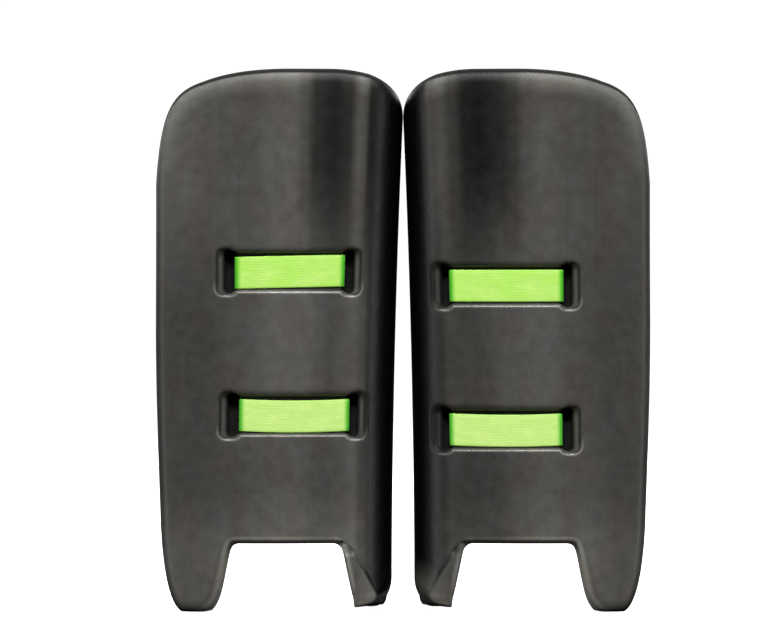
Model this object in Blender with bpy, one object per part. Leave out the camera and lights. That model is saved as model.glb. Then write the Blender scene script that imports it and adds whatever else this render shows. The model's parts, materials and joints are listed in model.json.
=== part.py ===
"""A pair of goalkeeper leg guards, standing side by side on their toe lugs.

Each guard is a thick moulded foam shell that wraps the front and the inner
side of the lower leg.  Two recesses in its face carry webbing straps, which
pass back through the shell and close round the calf with a side-release
buckle.  The two guards are mirror images.

Frame: metres, +Z up, X across the pair, -Y is the side that faces the ball.
The right leg's guard stands at -X and the left leg's guard at +X.  A guard is
designed as a flat sheet first: s runs along the sheet from its outer edge to
its inner edge, z runs up, and d goes into the foam.  The sheet is then bent
to the section of the guard.
"""

import math

import bmesh
import bpy
from mathutils import Vector

# ---------------------------------------------------------------- sizes
HEIGHT = 0.640

# section of the guard: four arcs, each with its length and its two headings
WING_LENGTH = 0.105
FRONT_LENGTH = 0.156
BEND_RADIUS = 0.048
WALL_LENGTH = 0.058
WING_EDGE_HEADING = math.radians(-16.0)
WING_FRONT_HEADING = math.radians(-3.0)
FRONT_BEND_HEADING = math.radians(8.0)
BEND_WALL_HEADING = math.radians(98.0)
WALL_EDGE_HEADING = math.radians(100.0)
FOOT_NARROWING = 0.016

# side profile: the face leans back as it rises from the foot
FOOT_LEAN = math.radians(12.0)
TOP_LEAN = math.radians(-4.0)

FOAM_THICKNESS = 0.034
EDGE_THICKNESS_RATIO = 0.75
EDGE_TAPER_LENGTH = 0.060
FACE_ROUNDING = 0.013
BACK_ROUNDING = 0.006
DEEPEST_ROUNDING = 0.023

# recesses and their straps
SLOT_HALF_LENGTH = 0.0075
CHANNEL_HALF_HEIGHT = 0.0217
CHANNEL_DEPTH = 0.0080
CHANNEL_LIP = 0.0042
POCKET_HALF_HEIGHT = 0.0250
POCKET_LIP = 0.0050
POCKET_SLOPE_LENGTH = 0.0120
POCKET_SLOPE_DEPTH = 0.0180
WEB_WIDTH = 0.038
WEB_THICKNESS = 0.0018
WEB_DEPTH = 0.0064
WEB_BEND = 0.0039
HINGE_CLEARANCE = 0.0030

# buckle, curved so that it slides out along the arc its strap swings on
BUCKLE_RHO = 0.1527
BUCKLE_MOUTH_ANGLE = math.radians(59.9)
BUCKLE_HALF_HEIGHT = 0.0250
BUCKLE_HALF_THICKNESS = 0.0060
SOCKET_LENGTH = 0.0440
CLIP_LENGTH = 0.0210
BAR_LENGTH = 0.0040
BAR_HALF_THICKNESS = 0.0020
FOLD_RADIUS = 0.0033
LAYER_PITCH = 0.0024
RAIL_Z = 0.0197

# soft linings at the back of the shell
PAD_GAP = 0.0012
SHIN_PAD_THICKNESS = 0.012
BOLSTER_THICKNESS = 0.028

PAIR_GAP = 0.0006
DEPTH_CENTRE = 0.10348

# which way each guard's inner side points, and each recess's height and slot places
GUARDS = {
    "right_leg": {
        "mirror": 1.0,
        "upper": {"height": 0.3995, "outer": 0.0940, "inner": 0.2432},
        "lower": {"height": 0.2300, "outer": 0.0985, "inner": 0.2535},
    },
    "left_leg": {
        "mirror": -1.0,
        "upper": {"height": 0.3830, "outer": 0.1060, "inner": 0.2592},
        "lower": {"height": 0.2130, "outer": 0.1060, "inner": 0.2634},
    },
}

BEND_LENGTH = BEND_RADIUS * (BEND_WALL_HEADING - FRONT_BEND_HEADING)
FULL_LENGTH = WING_LENGTH + FRONT_LENGTH + BEND_LENGTH + WALL_LENGTH


# ---------------------------------------------------------------- the bent sheet
def arc_step(length, start, end):
    """Return the plan displacement along an arc that turns from start to end."""
    turn = end - start
    if abs(turn) < 1e-9:
        return length * math.cos(start), length * math.sin(start)
    radius = length / turn
    return radius * (math.sin(end) - math.sin(start)), radius * (math.cos(start) - math.cos(end))


def lean_offset(z):
    """Return how far back the face sits at height z."""
    rate = (TOP_LEAN - FOOT_LEAN) / HEIGHT
    return (math.log(math.cos(FOOT_LEAN)) - math.log(math.cos(FOOT_LEAN + rate * z))) / rate


def surface(s, z):
    """Return the point of the guard's outer surface at sheet position (s, z)."""
    narrowing = FOOT_NARROWING * (1.0 - (z / HEIGHT) ** 2)
    arcs = (
        (WING_LENGTH, WING_LENGTH, WING_EDGE_HEADING, WING_FRONT_HEADING),
        (FRONT_LENGTH, FRONT_LENGTH - narrowing, WING_FRONT_HEADING, FRONT_BEND_HEADING),
        (BEND_LENGTH, BEND_LENGTH, FRONT_BEND_HEADING, BEND_WALL_HEADING),
        (WALL_LENGTH, WALL_LENGTH, BEND_WALL_HEADING, WALL_EDGE_HEADING),
    )
    x = 0.0
    y = 0.0
    left = s
    for index, (flat, bent, start, end) in enumerate(arcs):
        last = index == len(arcs) - 1
        share = left / flat
        if not last:
            share = min(share, 1.0)
        dx, dy = arc_step(share * bent, start, start + share * (end - start))
        x += dx
        y += dy
        left -= share * flat
        if left <= 1e-9:
            break
    return Vector((x, y + lean_offset(z), z))


def bent(s, z, d):
    """Return the point at depth d into the foam below sheet position (s, z)."""
    step = 0.0005
    along = surface(s + step, z) - surface(s - step, z)
    up = surface(s, z + step) - surface(s, z - step)
    return surface(s, z) + d * up.cross(along).normalized()


def width_direction(s, z):
    """Return the unit direction up the face at sheet position (s, z)."""
    step = 0.0005
    return (surface(s, z + step) - surface(s, z - step)).normalized()


def foam_thickness(s):
    """Return the shell's thickness, which thins towards its two long edges."""
    near = min(max(min(s, FULL_LENGTH - s), 0.0) / EDGE_TAPER_LENGTH, 1.0)
    eased = near * near * (3.0 - 2.0 * near)
    return FOAM_THICKNESS * (EDGE_THICKNESS_RATIO + (1.0 - EDGE_THICKNESS_RATIO) * eased)


# ---------------------------------------------------------------- mesh helpers
def clear_scene():
    """Remove every object of the open scene."""
    for item in list(bpy.data.objects):
        bpy.data.objects.remove(item, do_unlink=True)


def material(name, colour, roughness):
    """Return a Principled material with the given colour and roughness."""
    made = bpy.data.materials.new(name)
    made.use_nodes = True
    shader = made.node_tree.nodes["Principled BSDF"]
    shader.inputs["Base Color"].default_value = (*colour, 1.0)
    shader.inputs["Roughness"].default_value = roughness
    shader.inputs["Metallic"].default_value = 0.0
    return made


def add_rings(bm, rings, close_ends=True):
    """Bridge closed rings of points, in order, and cap the first and the last."""
    loops = [[bm.verts.new(p) for p in ring] for ring in rings]
    count = len(loops[0])
    for a, b in zip(loops, loops[1:]):
        for i in range(count):
            j = (i + 1) % count
            bm.faces.new((a[i], a[j], b[j], b[i]))
    if close_ends:
        bm.faces.new(list(reversed(loops[0])))
        bm.faces.new(loops[-1])
    return loops


def temporary(bm, name):
    """Return a scene object that holds bm's mesh."""
    bmesh.ops.recalc_face_normals(bm, faces=bm.faces)
    mesh = bpy.data.meshes.new(name)
    bm.to_mesh(mesh)
    bm.free()
    made = bpy.data.objects.new(name, mesh)
    bpy.context.scene.collection.objects.link(made)
    return made


def combine(base, tool, operation):
    """Apply an exact Boolean of the two meshes and return the result."""
    body = temporary(base, "body")
    cutter = temporary(tool, "cutter")
    cutter.hide_render = True
    cutter.display_type = "WIRE"
    modifier = body.modifiers.new("cut", "BOOLEAN")
    modifier.operation = operation
    modifier.solver = "EXACT"
    modifier.object = cutter
    evaluated = body.evaluated_get(bpy.context.evaluated_depsgraph_get())
    result = bmesh.new()
    result.from_mesh(evaluated.to_mesh())
    evaluated.to_mesh_clear()
    bpy.data.objects.remove(body, do_unlink=True)
    bpy.data.objects.remove(cutter, do_unlink=True)
    return result


def finish(bm, name, guard, look, origin=None, smooth_angle=40.0):
    """Mirror, place and link a mesh built in a guard's own frame.

    The mesh is moved to the pair's frame.  A moving piece gets its origin at
    the given point of its joint axis.
    """
    mirror = GUARDS[guard]["mirror"]
    bmesh.ops.recalc_face_normals(bm, faces=bm.faces)
    pivot = Vector((0.0, 0.0, 0.0))
    if origin is not None:
        pivot = in_pair(origin, mirror)
    for vert in bm.verts:
        vert.co = in_pair(vert.co, mirror) - pivot
    if bm.calc_volume(signed=True) < 0.0:
        bmesh.ops.reverse_faces(bm, faces=bm.faces)
    mesh = bpy.data.meshes.new(name)
    bm.to_mesh(mesh)
    bm.free()
    mesh.shade_smooth()
    mesh.set_sharp_from_angle(angle=math.radians(smooth_angle))
    made = bpy.data.objects.new(name, mesh)
    made.location = pivot
    made.data.materials.append(look)
    bpy.context.scene.collection.objects.link(made)
    return made


def in_pair(point, mirror):
    """Move a point from a guard's own frame to the pair's frame."""
    across = point[0] - REACH - 0.5 * PAIR_GAP
    return Vector((mirror * across, point[1] - DEPTH_CENTRE, point[2]))


# ---------------------------------------------------------------- shell
def bezier(points, count):
    """Return count points along a cubic curve, without its end point."""
    a, b, c, d = [Vector(p) for p in points]
    out = []
    for i in range(count):
        t = i / count
        u = 1.0 - t
        out.append(u ** 3 * a + 3 * u * u * t * b + 3 * u * t * t * c + t ** 3 * d)
    return out


def straight(start, end, count):
    """Return count points along a line, without its end point."""
    a, b = Vector(start), Vector(end)
    return [a.lerp(b, i / count) for i in range(count)]


def corner(centre, radii, power, start, end, count):
    """Return count points of a superellipse corner, without its end point."""
    out = []
    for i in range(count):
        angle = math.radians(start + (end - start) * i / count)
        c, s = math.cos(angle), math.sin(angle)
        px = centre[0] + radii[0] * math.copysign(abs(c) ** (2.0 / power), c)
        pz = centre[1] + radii[1] * math.copysign(abs(s) ** (2.0 / power), s)
        out.append(Vector((px, pz)))
    return out


def shell_outline():
    """Return the flat outline, counter-clockwise, with the face rounding at each point."""
    w = FULL_LENGTH
    runs = (
        # outer lug: its toe, then up the side of the foot notch
        (straight((0.040, 0.001), (0.060, 0.001), 2), 0.012, 0.012),
        (bezier(((0.060, 0.001), (0.072, 0.002), (0.080, 0.014), (0.084, 0.032)), 6), 0.012, 0.014),
        (bezier(((0.084, 0.032), (0.088, 0.048), (0.090, 0.062), (0.093, 0.073)), 4), 0.014, 0.008),
        (bezier(((0.093, 0.073), (0.095, 0.080), (0.098, 0.082), (0.104, 0.082)), 4), 0.008, 0.005),
        # top of the foot notch
        (straight((0.104, 0.082), (0.228, 0.082), 5), 0.005, 0.005),
        # inner lug: down its cut side, along its lifted toe and its sole, round its back corner
        (bezier(((0.228, 0.082), (0.237, 0.082), (0.243, 0.080), (0.2455, 0.073)), 4), 0.005, 0.003),
        (bezier(((0.2455, 0.073), (0.2505, 0.054), (0.2560, 0.030), (0.2640, 0.008)), 4), 0.003, 0.003),
        (bezier(((0.2640, 0.008), (0.285, 0.0080), (0.318, 0.0065), (0.360, -0.003)), 6), 0.003, 0.030),
        (straight((0.360, -0.003), (w - 0.020, -0.003), 2), 0.030, 0.012),
        (corner((w - 0.020, 0.017), (0.020, 0.020), 2.0, -90, 0, 4), 0.012, 0.012),
        # inner edge, top and outer edge
        (straight((w, 0.017), (w, 0.470), 6), 0.012, 0.012),
        (corner((0.215, 0.470), (w - 0.215, 0.170), 2.0, 0, 90, 14), 0.012, FACE_ROUNDING),
        (straight((0.215, HEIGHT), (0.165, HEIGHT), 2), FACE_ROUNDING, FACE_ROUNDING),
        (bezier(((0.165, HEIGHT), (0.120, HEIGHT), (0.085, 0.6345), (0.060, 0.6255)), 5), 0.013, 0.013),
        (bezier(((0.060, 0.6255), (0.020, 0.614), (0.006, 0.590), (0.0, 0.505)), 10), 0.013, 0.013),
        (straight((0.0, 0.505), (0.0, 0.350), 2), FACE_ROUNDING, FACE_ROUNDING),
        (bezier(((0.0, 0.350), (0.0, 0.260), (0.005, 0.180), (0.009, 0.100)), 5), 0.013, 0.013),
        (bezier(((0.009, 0.100), (0.012, 0.060), (0.020, 0.004), (0.040, 0.001)), 8), 0.013, 0.012),
    )
    points = []
    rounding = []
    for run, first, last in runs:
        for i, p in enumerate(run):
            points.append(p)
            rounding.append(first + (last - first) * i / len(run))
    return points, rounding


def inward_normals(points):
    """Return each outline point's mitred direction into the sheet."""
    out = []
    count = len(points)
    for i in range(count):
        before = (points[i] - points[i - 1]).normalized()
        after = (points[(i + 1) % count] - points[i]).normalized()
        n1 = Vector((-before.y, before.x))
        n2 = Vector((-after.y, after.x))
        mean = (n1 + n2).normalized()
        out.append(mean / max(mean.dot(n1), 0.6))
    return out


def rounded_rectangle(s0, s1, half_height, radius, steps=3):
    """Return a ring of (s, z) points round a rectangle with rounded corners."""
    radius = min(radius, 0.49 * (s1 - s0), half_height * 0.98)
    centres = (
        (s1 - radius, -half_height + radius, -90.0),
        (s1 - radius, half_height - radius, 0.0),
        (s0 + radius, half_height - radius, 90.0),
        (s0 + radius, -half_height + radius, 180.0),
    )
    ring = []
    for cs, cz, start in centres:
        for k in range(steps + 1):
            angle = math.radians(start + 90.0 * k / steps)
            ring.append((cs + radius * math.cos(angle), cz + radius * math.sin(angle)))
    return ring


def lip(depth, radius):
    """Return how far a rounded lip stands back from its wall at this depth."""
    if depth >= radius:
        return 0.0
    return radius - math.sqrt(radius * radius - (radius - max(depth, 0.0)) ** 2)


def channel_cutter(recess):
    """Return the cutter of the shallow channel in which a strap lies."""
    height = recess["height"]
    bm = bmesh.new()
    rings = []
    for depth in (-0.006, 0.0, 0.0003, 0.0016, CHANNEL_LIP, CHANNEL_DEPTH):
        half = CHANNEL_HALF_HEIGHT + lip(depth, CHANNEL_LIP)
        ring = rounded_rectangle(recess["outer"], recess["inner"], half, 0.0005, 1)
        rings.append([(s, height + z, depth) for s, z in ring])
    add_rings(bm, rings)
    return bm


def pocket_cutter(recess, at_outer_end):
    """Return the cutter of the flared slot at one end of a channel."""
    height = recess["height"]
    bm = bmesh.new()
    rings = []
    for depth in (-0.006, 0.0, 0.0004, 0.0020, POCKET_LIP, POCKET_SLOPE_DEPTH, 0.045):
        slope = 1.0 - min(depth / POCKET_SLOPE_DEPTH, 1.0)
        flare = SLOT_HALF_LENGTH + POCKET_SLOPE_LENGTH * min(slope, 1.0) * 0.55
        far = flare + lip(depth, POCKET_LIP)
        near = SLOT_HALF_LENGTH + lip(depth, POCKET_LIP)
        half = POCKET_HALF_HEIGHT + lip(depth, POCKET_LIP)
        half -= 0.001 * min(max(depth, 0.0) / POCKET_SLOPE_DEPTH, 1.0)
        radius = 0.0045 + 0.008 * min(slope, 1.0)
        if at_outer_end:
            ring = rounded_rectangle(recess["outer"] - far, recess["outer"] + near, half, radius)
        else:
            ring = rounded_rectangle(recess["inner"] - near, recess["inner"] + far, half, radius)
        rings.append([(s, height + z, depth) for s, z in ring])
    add_rings(bm, rings)
    return bm


def lug_cutter():
    """Return the cutter of the slanted face on the inner lug's notch side."""
    bm = bmesh.new()
    rings = []
    edge = WING_LENGTH + FRONT_LENGTH
    back = FOAM_THICKNESS - 0.005
    for z, face, rear in (
        (0.0820, edge - 0.016, edge - 0.022),
        (0.0710, edge - 0.003, edge - 0.0155),
        (0.0220, edge + 0.0275, edge - 0.0020),
        (-0.0100, edge + 0.0440, edge + 0.0050),
    ):
        slope = (face - rear) / back
        rings.append([
            (face + slope * 0.004, z, -0.004),
            (rear, z, back),
            (edge - 0.050, z, back),
            (edge - 0.050, z, -0.004),
        ])
    add_rings(bm, rings)
    return bm


def slice_mesh(bm, axis, position):
    """Cut every face of the mesh along one plane."""
    normal = Vector((0.0, 0.0, 0.0))
    normal[axis] = 1.0
    bmesh.ops.bisect_plane(
        bm,
        geom=bm.verts[:] + bm.edges[:] + bm.faces[:],
        dist=1e-6,
        plane_co=normal * position,
        plane_no=normal,
    )


def build_shell(guard, look):
    """Build one guard's foam shell."""
    points, rounding = shell_outline()
    normals = inward_normals(points)
    thickness = FOAM_THICKNESS
    rings = []
    for angle in (90.0, 60.0, 30.0, 0.0):
        a = math.radians(angle)
        ring = []
        for p, n, r in zip(points, normals, rounding):
            q = p + n * r * (1.0 - math.cos(a))
            ring.append((q.x, q.y, min(r, DEEPEST_ROUNDING) * (1.0 - math.sin(a))))
        rings.append(ring)
    for angle in (0.0, 45.0, 90.0):
        a = math.radians(angle)
        ring = []
        for p, n in zip(points, normals):
            q = p + n * BACK_ROUNDING * (1.0 - math.cos(a))
            ring.append((q.x, q.y, thickness - BACK_ROUNDING * (1.0 - math.sin(a))))
        rings.append(ring)
    bm = bmesh.new()
    add_rings(bm, rings)
    bm = combine(bm, lug_cutter(), "DIFFERENCE")
    for level in ("upper", "lower"):
        recess = GUARDS[guard][level]
        bm = combine(bm, channel_cutter(recess), "DIFFERENCE")
        bm = combine(bm, pocket_cutter(recess, True), "DIFFERENCE")
        bm = combine(bm, pocket_cutter(recess, False), "DIFFERENCE")
    cuts = [0.026, 0.052, WING_LENGTH, 0.142, 0.180, 0.212]
    cuts += [WING_LENGTH + FRONT_LENGTH + BEND_LENGTH * i / 7.0 for i in range(8)]
    cuts.append(FULL_LENGTH - 0.5 * WALL_LENGTH)
    for s in cuts:
        slice_mesh(bm, 0, s)
    for i in range(1, 8):
        slice_mesh(bm, 1, HEIGHT * i / 8.0)
    bmesh.ops.remove_doubles(bm, verts=bm.verts, dist=1e-5)
    bmesh.ops.triangulate(bm, faces=bm.faces, quad_method="SHORT_EDGE", ngon_method="BEAUTY")
    for vert in bm.verts:
        s, z, d = vert.co
        vert.co = bent(s, z, d * foam_thickness(s) / FOAM_THICKNESS)
    # the lugs stand flat on the ground
    cut = bmesh.ops.bisect_plane(
        bm,
        geom=bm.verts[:] + bm.edges[:] + bm.faces[:],
        dist=1e-6,
        plane_co=(0.0, 0.0, 0.0),
        plane_no=(0.0, 0.0, 1.0),
        clear_inner=True,
    )
    rim = [e for e in cut["geom_cut"] if isinstance(e, bmesh.types.BMEdge)]
    bmesh.ops.holes_fill(bm, edges=[e for e in rim if e.is_boundary], sides=0)
    bmesh.ops.remove_doubles(bm, verts=bm.verts, dist=1e-5)
    bmesh.ops.dissolve_degenerate(bm, dist=1e-6, edges=bm.edges)
    bmesh.ops.triangulate(bm, faces=bm.faces, ngon_method="BEAUTY")
    return finish(bm, guard + "_shell", guard, look, smooth_angle=50.0)


# ---------------------------------------------------------------- linings
def pad_mesh(s0, s1, z0, z1, thickness, corner_radius, edge):
    """Return a soft pad on the back of the shell, with a rounded outline and edge."""
    bm = bmesh.new()
    half = 0.5 * (z1 - z0)
    middle = 0.5 * (z0 + z1)
    profile = ((0.6 * edge, 0.0), (0.0, 0.35), (0.0, 0.65), (edge, 1.0))
    rings = []
    for inset, share in profile:
        ring = rounded_rectangle(s0 + inset, s1 - inset, half - inset, corner_radius - inset * 0.5)
        rings.append([(s, middle + z, share) for s, z in ring])
    add_rings(bm, rings)
    rows = max(int(round((z1 - z0) / 0.100)), 1)
    for i in range(1, rows):
        slice_mesh(bm, 1, z0 + (z1 - z0) * i / rows)
    bmesh.ops.triangulate(bm, faces=bm.faces, ngon_method="BEAUTY")
    for vert in bm.verts:
        s, z, share = vert.co
        depth = foam_thickness(s) + PAD_GAP + share * thickness
        vert.co = bent(s, z, depth)
    return bm


def build_pads(guard, look):
    """Build the shin lining and the three outer bolsters of one guard."""
    upper = GUARDS[guard]["upper"]["height"]
    lower = GUARDS[guard]["lower"]["height"]
    clear = SLOT_HALF_LENGTH + 0.0045
    left = max(GUARDS[guard][level]["outer"] for level in ("upper", "lower")) + clear
    right = min(GUARDS[guard][level]["inner"] for level in ("upper", "lower")) - clear
    pad = pad_mesh(left, right, 0.096, 0.590, SHIN_PAD_THICKNESS, 0.022, 0.005)
    finish(pad, guard + "_shin_pad", guard, look)
    spans = {
        "upper": (upper + 0.038, min(upper + 0.162, 0.556)),
        "middle": (lower + 0.038, upper - 0.038),
        "lower": (lower - 0.125, lower - 0.038),
    }
    for level, (low, high) in spans.items():
        bolster = pad_mesh(0.036, 0.080, low, high, BOLSTER_THICKNESS, 0.012, 0.009)
        finish(bolster, guard + "_bolster_" + level, guard, look)


# ---------------------------------------------------------------- webbing
def ribbon(stations, width=WEB_WIDTH, thickness=WEB_THICKNESS):
    """Return a flat strap through stations of (centre, width direction)."""
    rings = []
    last = len(stations) - 1
    for i, (centre, across) in enumerate(stations):
        ahead = stations[min(i + 1, last)][0] - stations[max(i - 1, 0)][0]
        normal = ahead.cross(across).normalized() * (0.5 * thickness)
        half = across * (0.5 * width)
        rings.append([centre - normal - half, centre + normal - half, centre + normal + half, centre - normal + half])
    bm = bmesh.new()
    add_rings(bm, rings)
    return bm


def hinge_point(guard, level):
    """Return the point behind the outer slot about which a strap end swings."""
    recess = GUARDS[guard][level]
    s = recess["outer"] + SLOT_HALF_LENGTH + 0.0007 - WEB_BEND
    return bent(s, recess["height"], foam_thickness(s) + HINGE_CLEARANCE)


def polar(hinge, arc, offset):
    """Return a plan point on the buckle's arc: arc is metres past its mouth."""
    angle = BUCKLE_MOUTH_ANGLE + arc / BUCKLE_RHO
    rho = BUCKLE_RHO + offset
    return Vector((hinge.x + rho * math.cos(angle), hinge.y + rho * math.sin(angle)))


def arc_heading(arc):
    """Return the plan direction of rising arc at a place on the buckle's arc."""
    angle = BUCKLE_MOUTH_ANGLE + arc / BUCKLE_RHO
    return Vector((-math.sin(angle), math.cos(angle)))


def shifted(path, offset):
    """Return a plan path moved sideways, to its left for a positive offset."""
    out = []
    last = len(path) - 1
    for i, p in enumerate(path):
        ahead = (path[min(i + 1, last)] - path[max(i - 1, 0)]).normalized()
        out.append(p + Vector((-ahead.y, ahead.x)) * offset)
    return out


def fold(hinge, bar_arc, from_socket):
    """Return the half turn of webbing round a buckle bar."""
    out = []
    sign = 1.0 if from_socket else -1.0
    for k in range(1, 6):
        angle = math.radians(-90.0 + 180.0 * k / 6.0)
        arc = bar_arc + sign * FOLD_RADIUS * math.cos(angle)
        out.append(polar(hinge, arc, FOLD_RADIUS * math.sin(angle)))
    return out


def path_part(path, start, end):
    """Return the points of a path between two shares of its point count."""
    count = len(path) - 1
    return path[int(round(start * count)):int(round(end * count)) + 1]


def socket_strap_path(guard, level):
    """Return the plan path of the inner strap, from the inner slot to its tail."""
    recess = GUARDS[guard][level]
    hinge = hinge_point(guard, level)
    s = recess["inner"] - SLOT_HALF_LENGTH - 0.0007 + WEB_BEND
    leave = bent(s, recess["height"], foam_thickness(s) + HINGE_CLEARANCE)
    start = Vector((leave.x, leave.y))
    bar = -SOCKET_LENGTH + BAR_LENGTH
    join = bar - 0.012
    meet = polar(hinge, join, -FOLD_RADIUS)
    sweep = bezier((start, start + Vector((0.0, 0.040)), meet - arc_heading(join) * 0.036, meet), 12)
    sweep.append(meet)
    path = list(sweep)
    path.append(polar(hinge, bar - 0.006, -FOLD_RADIUS))
    path.append(polar(hinge, bar, -FOLD_RADIUS))
    path += fold(hinge, bar, True)
    path.append(polar(hinge, bar, FOLD_RADIUS))
    path.append(polar(hinge, bar - 0.006, FOLD_RADIUS))
    tail = shifted(path_part(sweep, 0.72, 0.96), -LAYER_PITCH)
    path += reversed(tail)
    return path


def clip_strap_paths(guard, level):
    """Return the plan path of the outer strap and the path of its first layer."""
    hinge = hinge_point(guard, level)
    start = Vector((hinge.x, hinge.y + 0.001))
    bar = CLIP_LENGTH - BAR_LENGTH
    join = bar + 0.013
    meet = polar(hinge, join, -FOLD_RADIUS)
    out = Vector((math.cos(math.radians(94.0)), math.sin(math.radians(94.0))))
    sweep = bezier((start, start + out * 0.088, meet + arc_heading(join) * 0.058, meet), 18)
    sweep.append(meet)
    path = list(sweep)
    path.append(polar(hinge, bar + 0.006, -FOLD_RADIUS))
    path.append(polar(hinge, bar, -FOLD_RADIUS))
    path += fold(hinge, bar, False)
    path.append(polar(hinge, bar, FOLD_RADIUS))
    path.append(polar(hinge, bar + 0.006, FOLD_RADIUS))
    tail = shifted(path_part(sweep, 0.30, 0.96), LAYER_PITCH)
    path += reversed(tail)
    return path, sweep


def slot_run(guard, level):
    """Return the stations of the strap through both slots and along the channel."""
    recess = GUARDS[guard][level]
    height = recess["height"]
    turn_outer = recess["outer"] + SLOT_HALF_LENGTH + 0.0007
    turn_inner = recess["inner"] - SLOT_HALF_LENGTH - 0.0007
    turn_depth = WEB_DEPTH + WEB_BEND
    sheet = []
    back = FOAM_THICKNESS + HINGE_CLEARANCE - 0.001
    for share in (1.0, 0.72, 0.36, 0.0):
        sheet.append((turn_outer - WEB_BEND, turn_depth + (back - turn_depth) * share, share))
    for k in range(1, 5):
        angle = math.radians(90.0 * k / 4.0)
        sheet.append((turn_outer - WEB_BEND * math.cos(angle), turn_depth - WEB_BEND * math.sin(angle), 0.0))
    for k in range(1, 5):
        sheet.append((turn_outer + (turn_inner - turn_outer) * k / 5.0, WEB_DEPTH, 0.0))
    for k in range(5):
        angle = math.radians(90.0 - 90.0 * k / 4.0)
        sheet.append((turn_inner + WEB_BEND * math.cos(angle), turn_depth - WEB_BEND * math.sin(angle), 0.0))
    for share in (0.36, 0.72):
        sheet.append((turn_inner + WEB_BEND, turn_depth + (back - turn_depth) * share, share))
    stations = []
    upright = Vector((0.0, 0.0, 1.0))
    for s, d, share in sheet:
        across = width_direction(s, height).lerp(upright, share).normalized()
        stations.append((bent(s, height, d), across))
    return stations


def upright_stations(path, z):
    """Return ribbon stations for a plan path at one height."""
    up = Vector((0.0, 0.0, 1.0))
    return [(Vector((p.x, p.y, z)), up) for p in path]


def keeper_mesh(sweep, z):
    """Return the loop that holds the strap's tail against its first layer."""
    count = len(sweep) - 1
    place = int(round(0.42 * count))
    heading = (sweep[place + 1] - sweep[place - 1]).normalized()
    left = Vector((-heading.y, heading.x))
    wall = 0.0022
    gap = 0.0005
    low = -0.5 * WEB_THICKNESS - gap
    high = LAYER_PITCH + 0.5 * WEB_THICKNESS + gap
    half = 0.5 * WEB_WIDTH + gap
    rings = []
    corners = (
        (0.0045, low, half),
        (0.0045, low - wall, half + wall),
        (-0.0045, low - wall, half + wall),
        (-0.0045, low, half),
    )
    for side, top in ((0, 1), (1, 1), (1, -1), (0, -1)):
        ring = []
        for run, inner_offset, reach in corners:
            grown = low - inner_offset
            offset = low - grown if side == 0 else high + grown
            p = sweep[place] + heading * run + left * offset
            ring.append(Vector((p.x, p.y, z + top * reach)))
        rings.append(ring)
    bm = bmesh.new()
    loops = add_rings(bm, rings, close_ends=False)
    for i in range(4):
        j = (i + 1) % 4
        bm.faces.new((loops[-1][i], loops[-1][j], loops[0][j], loops[0][i]))
    bmesh.ops.recalc_face_normals(bm, faces=bm.faces)
    return bm


# ---------------------------------------------------------------- buckle
def arc_block(hinge, arcs, offsets, z_range, steps=4):
    """Return a curved block that lies on the buckle's arc."""
    bm = bmesh.new()
    rings = []
    for k in range(steps + 1):
        arc = arcs[0] + (arcs[1] - arcs[0]) * k / steps
        a = polar(hinge, arc, offsets[0])
        b = polar(hinge, arc, offsets[1])
        rings.append([
            (a.x, a.y, z_range[0]),
            (b.x, b.y, z_range[0]),
            (b.x, b.y, z_range[1]),
            (a.x, a.y, z_range[1]),
        ])
    add_rings(bm, rings)
    return bm


def soften(bm, width, angle=50.0):
    """Bevel the sharp edges of a mesh."""
    bmesh.ops.recalc_face_normals(bm, faces=bm.faces)
    edges = [e for e in bm.edges if len(e.link_faces) == 2 and e.calc_face_angle() > math.radians(angle)]
    bmesh.ops.bevel(bm, geom=edges, offset=width, segments=1, affect="EDGES", clamp_overlap=True)
    return bm


def build_socket(guard, level, look):
    """Build the female half of a buckle, which stays on the inner strap."""
    hinge = hinge_point(guard, level)
    z = hinge.z
    t = BUCKLE_HALF_THICKNESS
    h = BUCKLE_HALF_HEIGHT
    far = -SOCKET_LENGTH
    body = soften(arc_block(hinge, (far, 0.0), (-t, t), (z - h, z + h), 5), 0.0016)
    bar = far + BAR_LENGTH
    cuts = (
        ((-0.030, 0.004), (-0.0035, 0.0035), (z - 0.0215, z + 0.0215)),
        ((bar, -0.0330), (-0.010, 0.010), (z - RAIL_Z, z + RAIL_Z)),
        ((far - 0.004, bar + 0.001), (BAR_HALF_THICKNESS, 0.010), (z - RAIL_Z, z + RAIL_Z)),
        ((far - 0.004, bar + 0.001), (-0.010, -BAR_HALF_THICKNESS), (z - RAIL_Z, z + RAIL_Z)),
        ((-0.0235, -0.0105), (-0.0032, 0.0032), (z + 0.018, z + 0.030)),
        ((-0.0235, -0.0105), (-0.0032, 0.0032), (z - 0.030, z - 0.018)),
    )
    for arcs, offsets, span in cuts:
        body = combine(body, arc_block(hinge, arcs, offsets, span, 2), "DIFFERENCE")
    finish(body, guard + "_" + level + "_buckle_socket", guard, look)


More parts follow.
